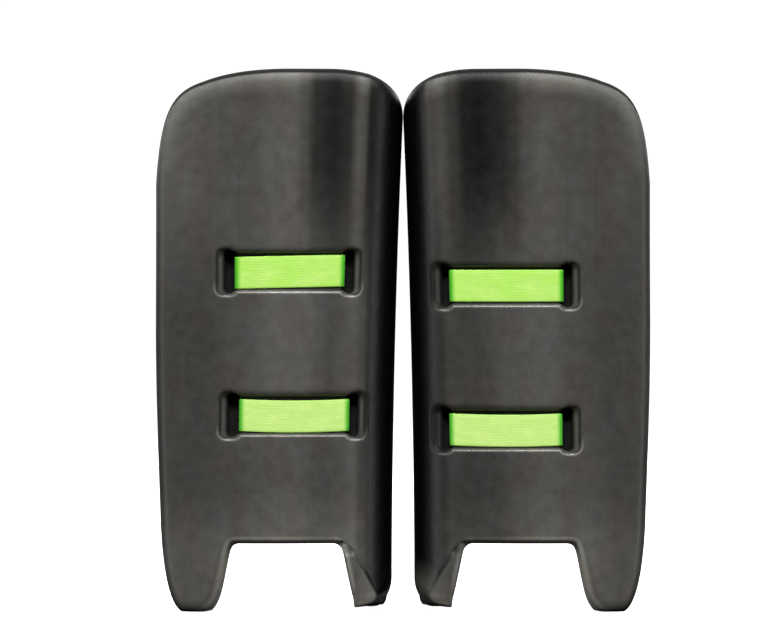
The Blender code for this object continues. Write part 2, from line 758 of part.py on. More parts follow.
def build_clip(guard, level, look):
    """Build the male half of a buckle and its two spring arms."""
    hinge = hinge_point(guard, level)
    z = hinge.z
    t = BUCKLE_HALF_THICKNESS - 0.0010
    h = BUCKLE_HALF_HEIGHT
    near = 0.0005
    bar = CLIP_LENGTH - BAR_LENGTH
    body = soften(arc_block(hinge, (near, CLIP_LENGTH), (-t, t), (z - h, z + h), 3), 0.0014)
    cuts = (
        ((0.0095, bar), (-0.010, 0.010), (z - RAIL_Z, z + RAIL_Z)),
        ((bar - 0.001, CLIP_LENGTH + 0.004), (BAR_HALF_THICKNESS, 0.010), (z - RAIL_Z, z + RAIL_Z)),
        ((bar - 0.001, CLIP_LENGTH + 0.004), (-0.010, -BAR_HALF_THICKNESS), (z - RAIL_Z, z + RAIL_Z)),
    )
    for arcs, offsets, span in cuts:
        body = combine(body, arc_block(hinge, arcs, offsets, span, 2), "DIFFERENCE")
    tongue = soften(arc_block(hinge, (-0.027, 0.003), (-0.0024, 0.0024), (z - 0.0070, z + 0.0070), 3), 0.0008)
    body = combine(body, tongue, "UNION")
    finish(body, guard + "_" + level + "_buckle_clip", guard, look, origin=hinge)
    for name, side in (("clip_arm_a", 1.0), ("clip_arm_b", -1.0)):
        bm = bmesh.new()
        rings = []
        outline = (
            (-0.0002, 0.0150, 0.0192),
            (-0.0100, 0.0156, 0.0192),
            (-0.0120, 0.0150, 0.0212),
            (-0.0220, 0.0150, 0.0212),
            (-0.0262, 0.0158, 0.0182),
        )
        for arc, low, high in outline:
            a = polar(hinge, arc, -0.0026)
            b = polar(hinge, arc, 0.0026)
            rings.append([
                (a.x, a.y, z + side * low),
                (b.x, b.y, z + side * low),
                (b.x, b.y, z + side * high),
                (a.x, a.y, z + side * high),
            ])
        add_rings(bm, rings)
        root = polar(hinge, 0.0, 0.0)
        pivot = Vector((root.x, root.y, z + side * 0.0170))
        finish(bm, guard + "_" + level + "_" + name, guard, look, origin=pivot)


def build_strap(guard, level, web, plastic):
    """Build one strap of a guard with its buckle and its keeper."""
    hinge = hinge_point(guard, level)
    stations = slot_run(guard, level)
    stations += upright_stations(socket_strap_path(guard, level), hinge.z)
    name = guard + "_" + level
    finish(ribbon(stations), name + "_strap_main", guard, web)
    path, sweep = clip_strap_paths(guard, level)
    outer = ribbon(upright_stations(path, hinge.z))
    finish(outer, name + "_strap_outer", guard, web, origin=hinge)
    finish(keeper_mesh(sweep, hinge.z), name + "_strap_keeper", guard, plastic, origin=hinge)
    build_socket(guard, level, plastic)
    build_clip(guard, level, plastic)


# ---------------------------------------------------------------- the pair
def widest_reach():
    """Return how far the guard's inner side reaches across, in its own frame."""
    s0 = WING_LENGTH + FRONT_LENGTH
    best = 0.0
    for i in range(41):
        for z in (0.45, 0.50, 0.55, 0.58):
            best = max(best, surface(s0 + BEND_LENGTH * i / 40.0, z).x)
    return best


def build():
    """Build the whole pair."""
    clear_scene()
    foam = material("moulded_foam", (0.071, 0.068, 0.061), 0.45)
    lining = material("soft_lining", (0.020, 0.020, 0.021), 0.85)
    web = material("green_webbing", (0.52, 0.93, 0.17), 0.60)
    plastic = material("black_plastic", (0.012, 0.012, 0.013), 0.35)
    for guard in GUARDS:
        build_shell(guard, foam)
        build_pads(guard, lining)
        for level in ("upper", "lower"):
            build_strap(guard, level, web, plastic)


REACH = widest_reach()
build()
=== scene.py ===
"""Looks of a pair of goalkeeper leg guards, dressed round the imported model.

Each guard is a moulded foam shell with two strap recesses, soft linings at its
back, and two green webbing straps that close with side-release buckles.  The
foam and the linings are shaped as a flat sheet first (s runs across the sheet
from the outer to the inner edge, z runs up and d goes into the foam) and are
then bent to the section of the guard.
"""

import enum
import json
import logging
import math
from dataclasses import dataclass
from typing import Iterable, Optional, Sequence

import bmesh
import bpy
import numpy as np
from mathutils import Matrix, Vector

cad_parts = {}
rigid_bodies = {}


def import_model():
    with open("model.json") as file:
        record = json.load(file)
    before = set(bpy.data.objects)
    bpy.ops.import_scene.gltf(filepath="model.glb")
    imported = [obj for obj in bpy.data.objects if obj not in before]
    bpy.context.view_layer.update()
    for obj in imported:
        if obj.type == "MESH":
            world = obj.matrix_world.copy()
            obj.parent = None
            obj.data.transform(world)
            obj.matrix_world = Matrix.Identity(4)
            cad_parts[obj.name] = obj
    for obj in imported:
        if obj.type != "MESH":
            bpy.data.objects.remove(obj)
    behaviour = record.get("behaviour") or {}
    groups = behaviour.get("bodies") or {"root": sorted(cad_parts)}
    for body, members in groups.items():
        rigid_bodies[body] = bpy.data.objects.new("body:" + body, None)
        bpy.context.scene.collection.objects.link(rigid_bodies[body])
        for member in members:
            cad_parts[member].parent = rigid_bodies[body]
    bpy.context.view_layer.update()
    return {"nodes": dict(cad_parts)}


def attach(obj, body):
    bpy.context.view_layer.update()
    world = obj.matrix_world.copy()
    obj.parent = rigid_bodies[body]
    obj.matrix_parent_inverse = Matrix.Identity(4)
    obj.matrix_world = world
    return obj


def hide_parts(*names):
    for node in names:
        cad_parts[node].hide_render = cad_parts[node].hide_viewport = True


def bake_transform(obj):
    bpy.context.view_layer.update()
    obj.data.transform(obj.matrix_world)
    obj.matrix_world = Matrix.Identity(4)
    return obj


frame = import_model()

log = logging.getLogger("leg_guards")

Array = np.ndarray
Piece = bpy.types.Object
Material = bpy.types.Material
Socket = bpy.types.NodeSocket
Station = tuple[Vector, Vector, float]
Rings = Sequence[Sequence[Iterable[float]]]
Profile = tuple[tuple[float, float], ...]
Colour = tuple[float, float, float]


# ---------------------------------------------------------------- object helpers
def select_only(piece: Piece) -> None:
    """Select and activate one object.

    Args:
        piece: the object that the next operator acts on.
    """
    for other in bpy.context.view_layer.objects:
        other.select_set(False)
    piece.select_set(True)
    bpy.context.view_layer.objects.active = piece


def apply_modifier(piece: Piece, kind: str, **settings: object) -> None:
    """Add one modifier to a piece and apply it at once.

    Args:
        piece: the object to change.
        kind: the modifier's type.
        settings: values for the modifier's own properties.
    """
    modifier = piece.modifiers.new(kind.lower(), kind)
    for name, value in settings.items():
        setattr(modifier, name, value)
    select_only(piece)
    bpy.ops.object.modifier_apply(modifier=modifier.name)


def object_from(bm: bmesh.types.BMesh, name: str) -> Piece:
    """Make a scene object of a bmesh, its faces turned outwards, and free the bmesh.

    Args:
        bm: the mesh to store.
        name: the object's name.

    Returns:
        The linked object.
    """
    bmesh.ops.recalc_face_normals(bm, faces=bm.faces)
    mesh = bpy.data.meshes.new(name)
    bm.to_mesh(mesh)
    bm.free()
    made = bpy.data.objects.new(name, mesh)
    bpy.context.scene.collection.objects.link(made)
    return made


def add_rings(bm: bmesh.types.BMesh, rings: Rings) -> None:
    """Bridge closed rings of points in order and cap the two ends.

    Args:
        bm: the mesh to add to.
        rings: the rings, each with the same number of points.
    """
    loops = [[bm.verts.new(tuple(p)) for p in ring] for ring in rings]
    count = len(loops[0])
    for a, b in zip(loops, loops[1:]):
        for i in range(count):
            j = (i + 1) % count
            bm.faces.new((a[i], a[j], b[j], b[i]))
    bm.faces.new(list(reversed(loops[0])))
    bm.faces.new(loops[-1])


def lofted(rings: Rings, name: str) -> Piece:
    """Make an object of closed rings that are bridged in order and capped.

    Args:
        rings: the rings, each with the same number of points.
        name: the object's name.

    Returns:
        The linked object.
    """
    bm = bmesh.new()
    add_rings(bm, rings)
    return object_from(bm, name)


def add_stitch(
    bm: bmesh.types.BMesh, centre: Vector, along: Vector, beside: Vector, rise: Vector,
    shoulder: float, dip: float = 0.0,
) -> None:
    """Add one plump stitch whose ends taper.

    Args:
        bm: the mesh to add to.
        centre: the stitch's middle.
        along: the stitch's run from end to end.
        beside: half its breadth.
        rise: half its height.
        shoulder: how far from the middle it starts to taper, as a share of along.
        dip: how far its two ends sink together.
    """
    rings = []
    for share, size in ((-0.5, 0.30), (-shoulder, 0.85), (0.0, 1.0), (shoulder, 0.85), (0.5, 0.30)):
        base = centre + along * share - rise.normalized() * (dip * abs(share))
        angles = [math.tau * k / 6.0 for k in range(6)]
        rings.append([base + (beside * math.cos(a) + rise * math.sin(a)) * size for a in angles])
    add_rings(bm, rings)


def read_points(piece: Piece) -> Array:
    """Return a piece's vertex positions as an (n, 3) array."""
    out = np.zeros(len(piece.data.vertices) * 3)
    piece.data.vertices.foreach_get("co", out)
    return out.reshape(-1, 3)


def write_points(piece: Piece, points: Array) -> None:
    """Store an (n, 3) array as a piece's vertex positions."""
    piece.data.vertices.foreach_set("co", np.asarray(points, dtype=np.float32).ravel())
    piece.data.update()


def keep_sheet_places(piece: Piece, places: Array) -> None:
    """Store each vertex's flat sheet position as the attribute 'sheet'."""
    attribute = piece.data.attributes.new("sheet", "FLOAT_VECTOR", "POINT")
    attribute.data.foreach_set("vector", np.asarray(places, dtype=np.float32).ravel())


def keep_value(piece: Piece, name: str, values: Array) -> None:
    """Store one number per vertex as a named attribute."""
    attribute = piece.data.attributes.new(name, "FLOAT", "POINT")
    attribute.data.foreach_set("value", np.asarray(values, dtype=np.float32))


def eased(values: Array, low: float, high: float) -> Array:
    """Return values carried smoothly from 0 at low to 1 at high."""
    t = np.clip((values - low) / (high - low), 0.0, 1.0)
    return t * t * (3.0 - 2.0 * t)


def face_outwards(piece: Piece) -> None:
    """Turn a closed piece's faces outwards if they point in."""
    bm = bmesh.new()
    bm.from_mesh(piece.data)
    if bm.calc_volume(signed=True) < 0.0:
        bmesh.ops.reverse_faces(bm, faces=bm.faces)
        bm.to_mesh(piece.data)
    bm.free()


def shade(piece: Piece, degrees: float) -> None:
    """Shade a piece smooth, with edges sharper than the angle kept hard."""
    piece.data.shade_smooth()
    piece.data.set_sharp_from_angle(angle=math.radians(degrees))


def bezier(points: Sequence[Sequence[float]], count: int) -> list[Vector]:
    """Return count points along a cubic curve, without its end point."""
    a, b, c, d = [Vector(p) for p in points]
    out = []
    for i in range(count):
        t = i / count
        u = 1.0 - t
        out.append(u ** 3 * a + 3 * u * u * t * b + 3 * u * t * t * c + t ** 3 * d)
    return out


def straight(start: Sequence[float], end: Sequence[float], count: int) -> list[Vector]:
    """Return count points along a line, without its end point."""
    a, b = Vector(start), Vector(end)
    return [a.lerp(b, i / count) for i in range(count)]


def corner(
    centre: Sequence[float], radii: Sequence[float], start: float, end: float, count: int
) -> list[Vector]:
    """Return count points of an elliptic corner between two angles in degrees."""
    out = []
    for i in range(count):
        angle = math.radians(start + (end - start) * i / count)
        out.append(Vector((centre[0] + radii[0] * math.cos(angle), centre[1] + radii[1] * math.sin(angle))))
    return out


def rounded_rectangle(
    s0: float, s1: float, half_height: float, radius: float, steps: int = 6
) -> list[tuple[float, float]]:
    """Return a ring of (s, z) points round a rectangle with rounded corners."""
    radius = min(radius, 0.49 * (s1 - s0), half_height * 0.98)
    centres = (
        (s1 - radius, -half_height + radius, -90.0),
        (s1 - radius, half_height - radius, 0.0),
        (s0 + radius, half_height - radius, 90.0),
        (s0 + radius, -half_height + radius, 180.0),
    )
    ring = []
    for cs, cz, start in centres:
        for k in range(steps + 1):
            angle = math.radians(start + 90.0 * k / steps)
            ring.append((cs + radius * math.cos(angle), cz + radius * math.sin(angle)))
    return ring


# ---------------------------------------------------------------- form of a guard
@dataclass(frozen=True)
class GuardForm:
    """The section, side profile and thickness that every sheet piece follows."""

    height: float = 0.640
    wing: float = 0.105
    front: float = 0.156
    bend_radius: float = 0.048
    wall: float = 0.058
    wing_edge: float = math.radians(-16.0)
    wing_front: float = math.radians(-3.0)
    front_bend: float = math.radians(8.0)
    bend_wall: float = math.radians(98.0)
    wall_edge: float = math.radians(100.0)
    foot_narrowing: float = 0.016
    foot_lean: float = math.radians(12.0)
    top_lean: float = math.radians(-4.0)
    foam: float = 0.034
    edge_ratio: float = 0.75
    edge_taper: float = 0.060
    pair_gap: float = 0.0006
    depth_centre: float = 0.10348

    @property
    def bend(self) -> float:
        """Length of the bend along the sheet."""
        return self.bend_radius * (self.bend_wall - self.front_bend)

    @property
    def width(self) -> float:
        """Full width of the flat sheet."""
        return self.wing + self.front + self.bend + self.wall

    def surface(self, s: Array, z: Array) -> Array:
        """Return the outer surface's points at sheet positions.

        Args:
            s: places across the sheet.
            z: heights, the same length.

        Returns:
            An (n, 3) array in the guard's own frame.
        """
        narrowing = self.foot_narrowing * (1.0 - (z / self.height) ** 2)
        arcs = (
            (self.wing, self.wing + 0.0 * z, self.wing_edge, self.wing_front),
            (self.front, self.front - narrowing, self.wing_front, self.front_bend),
            (self.bend, self.bend + 0.0 * z, self.front_bend, self.bend_wall),
            (self.wall, self.wall + 0.0 * z, self.bend_wall, self.wall_edge),
        )
        x = np.zeros_like(s)
        y = np.zeros_like(s)
        left = s.copy()
        for index, (flat, curved, start, end) in enumerate(arcs):
            share = left / flat
            if index > 0:
                share = np.maximum(share, 0.0)
            if index < len(arcs) - 1:
                share = np.minimum(share, 1.0)
            turn = share * (end - start)
            length = share * curved
            still = np.abs(turn) < 1e-9
            radius = length / np.where(still, 1.0, turn)
            x += np.where(still, length * math.cos(start), radius * (np.sin(start + turn) - math.sin(start)))
            y += np.where(still, length * math.sin(start), radius * (math.cos(start) - np.cos(start + turn)))
            left = left - share * flat
        rate = (self.top_lean - self.foot_lean) / self.height
        back = (math.log(math.cos(self.foot_lean)) - np.log(np.cos(self.foot_lean + rate * z))) / rate
        return np.stack((x, y + back, z), axis=1)

    def bent(self, places: Array) -> Array:
        """Return the points at sheet places (s, z, d), with d into the foam."""
        s, z, d = places[:, 0], places[:, 1], places[:, 2]
        step = 0.0005
        along = self.surface(s + step, z) - self.surface(s - step, z)
        up = self.surface(s, z + step) - self.surface(s, z - step)
        normal = np.cross(up, along)
        normal /= np.linalg.norm(normal, axis=1)[:, None]
        return self.surface(s, z) + d[:, None] * normal

    def bent_point(self, s: float, z: float, d: float) -> Vector:
        """Return one bent point as a vector."""
        return Vector(self.bent(np.array([[s, z, d]]))[0])

    def width_direction(self, s: float, z: float) -> Vector:
        """Return the unit direction up the face at one sheet place."""
        pair = self.surface(np.array([s, s]), np.array([z - 0.0005, z + 0.0005]))
        return Vector(pair[1] - pair[0]).normalized()

    def thickness(self, s: Array) -> Array:
        """Return the foam's thickness, which thins towards its two long edges."""
        inner = eased(np.minimum(s, self.width - s), 0.0, self.edge_taper)
        return self.foam * (self.edge_ratio + (1.0 - self.edge_ratio) * inner)

    def reach(self) -> float:
        """Return how far the guard's inner side reaches across."""
        s0 = self.wing + self.front
        s = s0 + self.bend * np.arange(41) / 40.0
        return max(float(self.surface(s, np.full(41, z))[:, 0].max()) for z in (0.45, 0.50, 0.55, 0.58))


FORM = GuardForm()
REACH = FORM.reach()


@dataclass(frozen=True)
class Recess:
    """One strap recess: its height, its two slots and how its strap lies in it."""

    height: float
    outer: float
    inner: float
    tilt: float = 0.0
    sag: float = 0.0
    outer_slack: float = 0.0


class Level(enum.Enum):
    """The two strap levels of a guard."""

    UPPER = "upper"
    LOWER = "lower"


class Side(enum.Enum):
    """The two guards of the pair, by the leg that wears them."""

    RIGHT = "right_leg"
    LEFT = "left_leg"

    @property
    def mirror(self) -> float:
        """Which way the guard's own x axis points in the pair."""
        return 1.0 if self is Side.RIGHT else -1.0

    @property
    def guard_body(self) -> str:
        """The moving body that holds the guard's shell."""
        return self.value + "_guard"

    def name(self, *words: str) -> str:
        """Return a piece name that starts with the side's."""
        return "_".join((self.value, *words))

    def placed(self, points: Array) -> Array:
        """Move points from the guard's own frame to the pair's frame."""
        out = np.array(points, dtype=float)
        out[:, 0] = self.mirror * (out[:, 0] - REACH - 0.5 * FORM.pair_gap)
        out[:, 1] -= FORM.depth_centre
        return out


RECESSES: dict[Side, dict[Level, Recess]] = {
    Side.RIGHT: {
        Level.UPPER: Recess(0.3995, 0.0940, 0.2432, 0.0013, 0.0, 0.0010),
        Level.LOWER: Recess(0.2300, 0.0985, 0.2535, 0.0, 0.0016, 0.0026),
    },
    Side.LEFT: {
        Level.UPPER: Recess(0.3830, 0.1060, 0.2592, 0.0, 0.0002, -0.0012),
        Level.LOWER: Recess(0.2130, 0.1060, 0.2634, 0.0, 0.0014, 0.0012),
    },
}


# ---------------------------------------------------------------- material tools
class NodeSheet:
    """A material's node tree with short calls for the nodes that finishes use."""

    def __init__(self, name: str) -> None:
        """Start a material with one Principled shader."""
        self.material = bpy.data.materials.new(name)
        self.material.use_nodes = True
        self.tree = self.material.node_tree
        self.shader = self.tree.nodes["Principled BSDF"]

    def node(self, kind: str, **settings: object) -> bpy.types.Node:
        """Add a node and set its own properties."""
        made = self.tree.nodes.new(kind)
        for name, value in settings.items():
            setattr(made, name, value)
        return made

    def feed(self, socket: Socket, value: object) -> None:
        """Link a socket to another, or set its plain value."""
        if isinstance(value, Socket):
            self.tree.links.new(value, socket)
        else:
            socket.default_value = value

    def attribute(self, name: str) -> Socket:
        """Return the vector of one of the mesh's own attributes."""
        made = self.node("ShaderNodeAttribute", attribute_name=name)
        return made.outputs["Vector"]

    def value(self, name: str) -> Socket:
        """Return the number of one of the mesh's own attributes."""
        made = self.node("ShaderNodeAttribute", attribute_name=name)
        return made.outputs["Fac"]

    def object_place(self) -> Socket:
        """Return Object coordinates, in metres."""
        return self.node("ShaderNodeTexCoord").outputs["Object"]

    def uv(self, name: str) -> Socket:
        """Return one UV map's coordinates."""
        return self.node("ShaderNodeUVMap", uv_map=name).outputs["UV"]

    def split(self, vector: Socket) -> tuple[Socket, ...]:
        """Return the x, y and z of a vector."""
        made = self.node("ShaderNodeSeparateXYZ")
        self.feed(made.inputs[0], vector)
        return made.outputs[0], made.outputs[1], made.outputs[2]

    def scaled(self, vector: Socket, scale: Sequence[float]) -> Socket:
        """Return a vector stretched along its axes."""
        made = self.node("ShaderNodeMapping")
        self.feed(made.inputs["Vector"], vector)
        made.inputs["Scale"].default_value = scale
        return made.outputs["Vector"]

    def math(self, operation: str, a: object, b: object = 0.0) -> Socket:
        """Return the result of one Math node."""
        made = self.node("ShaderNodeMath", operation=operation)
        self.feed(made.inputs[0], a)
        self.feed(made.inputs[1], b)
        return made.outputs[0]

    def chain(self, operation: str, first: object, *others: object) -> object:
        """Return values joined from left to right by one operation."""
        for other in others:
            first = self.math(operation, first, other)
        return first

    def times(self, *values: object) -> object:
        """Return the product of values."""
        return self.chain("MULTIPLY", *values)

    def plus(self, *values: object) -> object:
        """Return the sum of values."""
        return self.chain("ADD", *values)

    def most(self, *values: object) -> object:
        """Return the greatest of values."""
        return self.chain("MAXIMUM", *values)

    def least(self, *values: object) -> object:
        """Return the least of values."""
        return self.chain("MINIMUM", *values)

    def minus(self, a: object, b: object) -> Socket:
        """Return a less b."""
        return self.math("SUBTRACT", a, b)

    def rest(self, share: object) -> Socket:
        """Return what a share leaves of 1."""
        return self.minus(1.0, share)

    def noise(
        self, vector: Socket, scale: float, detail: float = 3.0, rough: float = 0.5
    ) -> Socket:
        """Return a noise value about 0.5."""
        made = self.node("ShaderNodeTexNoise")
        self.feed(made.inputs["Vector"], vector)
        made.inputs["Scale"].default_value = scale
        made.inputs["Detail"].default_value = detail
        made.inputs["Roughness"].default_value = rough
        return made.outputs["Fac"]

    def cells(self, vector: Socket, scale: float) -> Socket:
        """Return the distance to the nearest cell centre of a cell pattern."""
        made = self.node("ShaderNodeTexVoronoi", feature="F1")
        self.feed(made.inputs["Vector"], vector)
        made.inputs["Scale"].default_value = scale
        return made.outputs["Distance"]

    def span(self, value: object, low: float, high: float, to_low: float, to_high: float) -> Socket:
        """Return a value carried smoothly from one range to another."""
        made = self.node("ShaderNodeMapRange", interpolation_type="SMOOTHSTEP")
        for socket, given in zip(made.inputs, (value, low, high, to_low, to_high)):
            self.feed(socket, given)
        return made.outputs[0]

    def ramp(self, value: object, stops: Sequence[tuple[float, float]]) -> Socket:
        """Return a brightness looked up in an eased ramp of (place, brightness)."""
        made = self.node("ShaderNodeValToRGB")
        made.color_ramp.interpolation = "EASE"
        elements = made.color_ramp.elements
        while len(elements) < len(stops):
            elements.new(0.5)
        for element, (place, level) in zip(elements, stops):
            element.position = place
            element.color = (level, level, level, 1.0)
        self.feed(made.inputs[0], value)
        return made.outputs[0]

    def mix(self, factor: object, a: object, b: object, blend: str = "MIX") -> Socket:
        """Return a mix of two colours."""
        made = self.node("ShaderNodeMix", data_type="RGBA", blend_type=blend)
        self.feed(made.inputs[0], factor)
        self.feed(made.inputs[6], a)
        self.feed(made.inputs[7], b)
        return made.outputs[2]

    def tint(self, colour: object, level: object) -> Socket:
        """Return a colour made lighter or darker by a factor."""
        made = self.node("ShaderNodeVectorMath", operation="SCALE")
        self.feed(made.inputs[0], colour)
        self.feed(made.inputs["Scale"], level)
        return made.outputs[0]

    def bump(self, height: object, distance: float, strength: float, under: object = None) -> Socket:
        """Return a normal that follows a height, over another normal."""
        made = self.node("ShaderNodeBump")
        made.inputs["Strength"].default_value = strength
        made.inputs["Distance"].default_value = distance
        self.feed(made.inputs["Height"], height)
        if under is not None:
            self.feed(made.inputs["Normal"], under)
        return made.outputs["Normal"]


@dataclass(frozen=True)
class FoamPaintedLight:
    """Painted light and shade on one guard's skin across its sheet, at three heights.

    The facet and toe levels are painted light on the inner lug's slanted face
    and on its toe, the gleam is a painted highlight on the slanted face's top,
    the crown level a painted highlight under the top rim and the foot lift
    painted light on the skin near the foot.
    """

    foot: Profile
    middle: Profile
    top: Profile
    facet: float
    gleam: float
    toe: float = 0.0
    crown_highlight: float = 0.90
    foot_light: float = 1.70


# Painted light and shade: each profile lists (place across the sheet, brightness) and stands in for how the
# studio light falls across the curved shell, dark where the inner side bends away from the lights.
FOAM_PAINTED_LIGHT: dict[Side, FoamPaintedLight] = {
    Side.RIGHT: FoamPaintedLight(
        foot=(
            (0.0, 0.74), (0.12, 0.76), (0.24, 0.92), (0.34, 1.10), (0.44, 1.22), (0.54, 0.92),
            (0.60, 1.08), (0.645, 1.36), (0.675, 0.72), (0.700, 0.14), (0.75, 0.01),
        ),
        middle=(
            (0.0, 0.72), (0.06, 0.74), (0.15, 0.76), (0.28, 1.10), (0.40, 1.62), (0.48, 1.66),
            (0.57, 1.06), (0.64, 1.40), (0.668, 0.98), (0.690, 0.22), (0.715, 0.03), (0.75, 0.0),
        ),
        top=(
            (0.0, 1.56), (0.10, 1.50), (0.20, 1.24), (0.30, 1.24), (0.37, 1.56), (0.435, 1.62),
            (0.468, 1.04), (0.505, 0.32), (0.56, 0.16), (0.605, 0.32), (0.640, 1.30), (0.652, 1.10),
            (0.672, 0.16), (0.70, 0.0),
        ),
        facet=2.0, gleam=2.4,
    ),
    Side.LEFT: FoamPaintedLight(
        foot=(
            (0.0, 0.72), (0.10, 0.78), (0.22, 1.14), (0.34, 1.26), (0.42, 0.98), (0.50, 0.60),
            (0.60, 0.56), (0.65, 0.62), (0.68, 0.34), (0.71, 0.12), (0.76, 0.01),
        ),
        middle=(
            (0.0, 0.88), (0.06, 0.78), (0.12, 0.80), (0.24, 1.04), (0.34, 1.36), (0.46, 1.26),
            (0.56, 0.80), (0.60, 0.72), (0.65, 0.78), (0.68, 0.40), (0.71, 0.10), (0.76, 0.0),
        ),
        top=(
            (0.0, 1.00), (0.10, 1.14), (0.17, 1.04), (0.25, 1.18), (0.34, 1.42), (0.39, 1.12),
            (0.430, 0.52), (0.470, 0.22), (0.54, 0.08), (0.58, 0.13), (0.62, 0.56), (0.66, 1.10),
            (0.688, 0.85), (0.708, 0.14), (0.728, 0.0),
        ),
        facet=1.8, gleam=1.0, toe=0.90, crown_highlight=1.35, foot_light=1.50,
    ),
}


